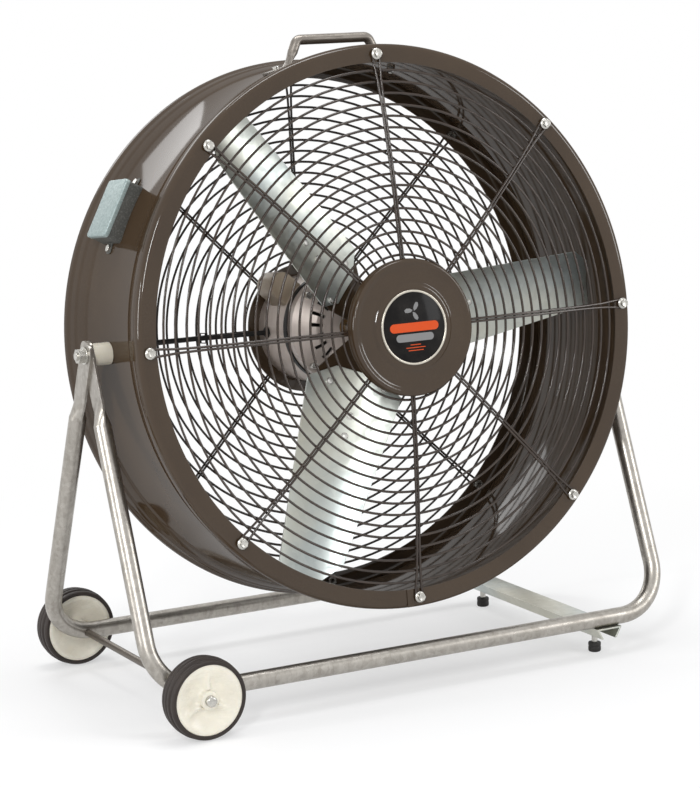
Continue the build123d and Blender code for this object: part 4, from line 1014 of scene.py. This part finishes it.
def motor_band():
    """Black band at the front of the motor's shell, where it meets the bell: painted shade, a dark
    ring put where the gap between shell and bell lies in shade.
    """
    band = turned("motor_band", [
        (0.0712, 0.0462), (0.0716, 0.0458), (0.0726, 0.0466), (0.0727, 0.0540), (0.0724, 0.0546),
        (0.0721, 0.0546), (0.0721, 0.0470),
    ])
    settle(band, TILTED)
    # The black rubber finish here is painted shade for the gap between shell and bell.
    dress(band, "drum", "black_rubber", (), 50)


def capacitor_hood():
    """Pressed hood over the capacitor: flat sides, a round top and rolled ends."""

    def along_top(one, two):
        return min(one.x, two.x) > 0.09 and abs(one.y - two.y) > 0.03

    hood = block((0.0814, HOOD_Y, 0), (0.0508, 0.0400, 0.0360))
    bevel_lines(hood, along_top, 0.0178, 16)
    round_edges(hood, 0.0022, 3, 50)
    fit_to_cylinder(hood, MOTOR_RADIUS, HOOD_Y, 128)
    settle(hood, TILTED @ Matrix.Rotation(-math.radians(CAPACITOR_ANGLE), 4, "Y"))
    dress(hood, "drum", "tan_paint", ["capacitor_cover"])


def blade_rivet_domes():
    """Domed rivet heads on the blades' front faces, each laid flat by two turns."""
    seats = [
        ((0.1450, -0.05719, 0.0030), -0.0317, 0.4796),
        ((0.1180, -0.05634, 0.0030), -0.0313, 0.4967),
        ((0.0820, -0.03962, -0.0300), -0.0615, 0.3658),
        ((0.0730, -0.07369, 0.0310), -0.0178, 0.6579),
    ]
    dome = turned("rivet_dome", [
        (0.0, -0.0031), (0.0018, -0.0029), (0.0034, -0.0022), (0.0044, -0.0012),
        (0.0048, -0.0002), (0.0047, 0.0002), (0.0, 0.0002),
    ], steps=20)
    domes = []
    for place, along, across in seats:
        copy = copy_of(dome)
        lie = Matrix.Rotation(along, 4, "Z") @ Matrix.Rotation(across, 4, "X")
        settle(copy, Matrix.Translation(place) @ lie)
        domes.append(copy)
    bpy.data.objects.remove(dome)
    one_blade = joined(domes, "blade_rivet_domes")
    heads = round_the_axis(one_blade, BLADE_ANGLES, "blade_rivet_domes")
    settle(heads, TILTED)
    dress(heads, "fan", "rivet", (), 70)


def wiring_box():
    """Folded sheet box with round corners, a lid lapped over its sides and an ear at each end."""
    box = block((0.3465, BOX_Y, 0), (0.0390, 0.0556, 0.0766))
    open_inner_side(box)
    round_corners(box, 0.0045)
    round_edges(box, 0.0014, angle=50)
    apply_modifier(box, "SOLIDIFY", thickness=BOX_SHEET, offset=-1.0)
    fit_to_cylinder(box, WALL_RADIUS, BOX_Y, 256)
    lid = block((0.3640, BOX_Y, 0), (0.0060, 0.0570, 0.0780))
    open_inner_side(lid)
    round_corners(lid, 0.0052)
    round_edges(lid, 0.0016, 3, 50)
    apply_modifier(lid, "SOLIDIFY", thickness=LID_SHEET, offset=-1.0)
    ears = []
    for side in (-1, 1):
        ear = block((0.3453, 0.0240, 0), (0.0014, 0.0120, 0.0160))
        round_corners(ear, 0.0035)
        round_edges(ear, 0.0003, angle=50)
        settle(ear, Matrix.Rotation(side * EAR_TURN, 4, "Y"))
        ears.append(ear)
    place = TILTED @ Matrix.Rotation(-math.radians(BOX_ANGLE), 4, "Y")
    body = joined([box] + ears, "wiring_box_body")
    settle(body, place)
    # The body's darker sheet is painted shade on the box's sides.
    dress(body, "drum", "painted_shade_sheet", ["wiring_box"])
    lid.name = "wiring_box_lid"
    settle(lid, place)
    dress(lid, "drum", "speckled_zinc", ["wiring_box"])


def motor_lead():
    """Cord from the motor, along the rear guard's left spoke and the wall, into the wiring box."""
    route = [
        (-0.0640, 0.1010, 0.0000), (-0.1000, 0.1010, 0.0000), (-0.1500, 0.1180, 0.0000),
        (-0.2980, 0.1130, 0.0030), (-0.3310, 0.1030, 0.0350), (-0.3220, 0.0720, 0.0850),
        (-0.2960, 0.0380, 0.1380), (-0.2826, 0.0240, 0.1583), (-0.3093, 0.0240, 0.1732),
    ]
    curve = bpy.data.curves.new("motor_cord", "CURVE")
    curve.dimensions = "3D"
    curve.bevel_depth = LEAD_DIAMETER / 2
    curve.bevel_resolution = 3
    curve.resolution_u = 16
    curve.use_fill_caps = True
    line = curve.splines.new("NURBS")
    line.points.add(len(route) - 1)
    for point, place in zip(line.points, route):
        point.co = (*(TILTED @ Vector(place)), 1.0)
    line.order_u = 3
    line.use_endpoint_u = True
    lead = bpy.data.objects.new("motor_cord", curve)
    bpy.context.scene.collection.objects.link(lead)
    curve.materials.append(FINISHES["black_rubber"])
    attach(lead, "drum")
    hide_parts("motor_lead")


def rubber_feet():
    foot = turned("rubber_foot", [
        (0.0, 0.0), (0.0066, 0.0), (0.0078, 0.0006), (0.0085, 0.0020), (0.0085, 0.0064),
        (0.0081, 0.0070), (0.0081, 0.0080), (0.0085, 0.0086), (0.0085, 0.0116), (0.0080, 0.0127),
        (0.0068, 0.0130), (0.0041, 0.0130), (0.0041, 0.0100), (0.0, 0.0100),
    ], steps=40)
    upright = Matrix.Rotation(math.pi / 2, 4, "X")
    settle(foot, Matrix.Translation((FOOT_X, -FOOT_Y, 0.0)) @ upright)
    other = copy_of(foot)
    settle(other, Matrix.Translation((0.0, 2 * FOOT_Y, 0.0)))
    feet = joined([foot, other], "moulded_feet")
    dress(feet, "stand", "black_rubber", ["rubber_feet"], 45)


# Camera, light and floor


def make_camera():
    """The photograph's viewpoint, worked out from the sizes that the photograph shows."""
    level = Vector((math.cos(VIEW_AROUND), math.sin(VIEW_AROUND), 0.0))
    back = Vector((
        math.sin(VIEW_AROUND) * math.cos(VIEW_UP),
        -math.cos(VIEW_AROUND) * math.cos(VIEW_UP),
        math.sin(VIEW_UP),
    ))
    above = back.cross(level)
    right = math.cos(VIEW_ROLL) * level + math.sin(VIEW_ROLL) * above
    top = -math.sin(VIEW_ROLL) * level + math.cos(VIEW_ROLL) * above
    data = bpy.data.cameras.new("viewpoint")
    data.sensor_fit = "HORIZONTAL"
    data.sensor_width = FILM_WIDTH
    data.lens = VIEW_LENS
    data.clip_start = 0.05
    data.clip_end = 60.0
    camera = bpy.data.objects.new("viewpoint", data)
    bpy.context.scene.collection.objects.link(camera)
    place = Matrix((right, top, back)).transposed().to_4x4()
    place.translation = VIEW_PLACE
    camera.matrix_world = place
    bpy.context.scene.camera = camera


def hang_lamp(name, place, target, width, height, power):
    data = bpy.data.lights.new(name, "AREA")
    data.shape = "RECTANGLE"
    data.size = width
    data.size_y = height
    data.energy = power
    light = bpy.data.objects.new(name, data)
    bpy.context.scene.collection.objects.link(light)
    light.location = place
    light.rotation_mode = "QUATERNION"
    light.rotation_quaternion = (Vector(target) - Vector(place)).to_track_quat("-Z", "Y")


def seen_directly(tree):
    """1 for what the camera sees straight, in a reflection or through glass, and else 0."""
    path = tree.nodes.new("ShaderNodeLightPath")
    sharp = reckon(tree, "MAXIMUM", path.outputs["Is Camera Ray"], path.outputs["Is Glossy Ray"])
    return reckon(tree, "MAXIMUM", sharp, path.outputs["Is Transmission Ray"])


def blend_shaders(tree, share, first, second, surface):
    """Give a surface the first shader and, by share, the second."""
    blend = tree.nodes.new("ShaderNodeMixShader")
    tree.links.new(share, blend.inputs["Fac"])
    tree.links.new(first, blend.inputs[1])
    tree.links.new(second, blend.inputs[2])
    tree.links.new(blend.outputs["Shader"], surface)


def floor_material():
    """Pale floor that keeps the fan's shadow and fades to plain white away from it."""
    material = bpy.data.materials.new("pale_floor")
    material.use_nodes = True
    tree = material.node_tree
    shader = tree.nodes["Principled BSDF"]
    shader.inputs["Base Color"].default_value = (0.9, 0.9, 0.9, 1.0)
    shader.inputs["Roughness"].default_value = 0.8
    shader.inputs["Specular IOR Level"].default_value = 0.1
    plain = tree.nodes.new("ShaderNodeEmission")
    plain.inputs["Color"].default_value = WHITE
    plain.inputs["Strength"].default_value = 1.0
    reach = tree.nodes.new("ShaderNodeVectorMath")
    reach.operation = "LENGTH"
    tree.links.new(object_point(tree), reach.inputs[0])
    fade = spread_range(tree, reach.outputs["Value"], 0.4, 1.2, 0.5, 1.0)
    blend_shaders(
        tree, product(tree, fade, seen_directly(tree)), shader.outputs["BSDF"],
        plain.outputs["Emission"], tree.nodes["Material Output"].inputs["Surface"],
    )
    return material


def make_studio():
    deselect()
    bpy.ops.mesh.primitive_plane_add(size=60.0, location=(0, 0, 0))
    floor = bpy.context.object
    floor.name = "studio_floor"
    floor.data.materials.append(floor_material())
    world = bpy.data.worlds.new("studio")
    bpy.context.scene.world = world
    world.use_nodes = True
    tree = world.node_tree
    room = tree.nodes["Background"]
    room.inputs["Color"].default_value = (0.97, 0.98, 1.0, 1.0)
    room.inputs["Strength"].default_value = 0.6
    plain = tree.nodes.new("ShaderNodeBackground")
    plain.inputs["Color"].default_value = WHITE
    blend_shaders(
        tree, seen_directly(tree), room.outputs["Background"], plain.outputs["Background"],
        tree.nodes["World Output"].inputs["Surface"],
    )
    for values in LAMPS:
        hang_lamp(*values)
    bpy.context.scene.view_settings.view_transform = "Standard"


make_camera()
make_guards()
make_drum()
make_hub_cover()
make_badge()
make_wheels()
make_axle_caps()
motor_band()
capacitor_hood()
blade_rivet_domes()
wiring_box()
motor_lead()
rubber_feet()

# The CAD nodes that stay take their finish from their material slot, or have one of their own
OWN_FINISH = {"handle": "handle_steel"}
for name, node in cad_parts.items():
    if node.hide_render:
        continue
    slot = node.data.materials[0].name.split(".")[0]
    node.data.materials.clear()
    node.data.materials.append(FINISHES[OWN_FINISH.get(name, slot)])
    smooth(node)

make_studio()
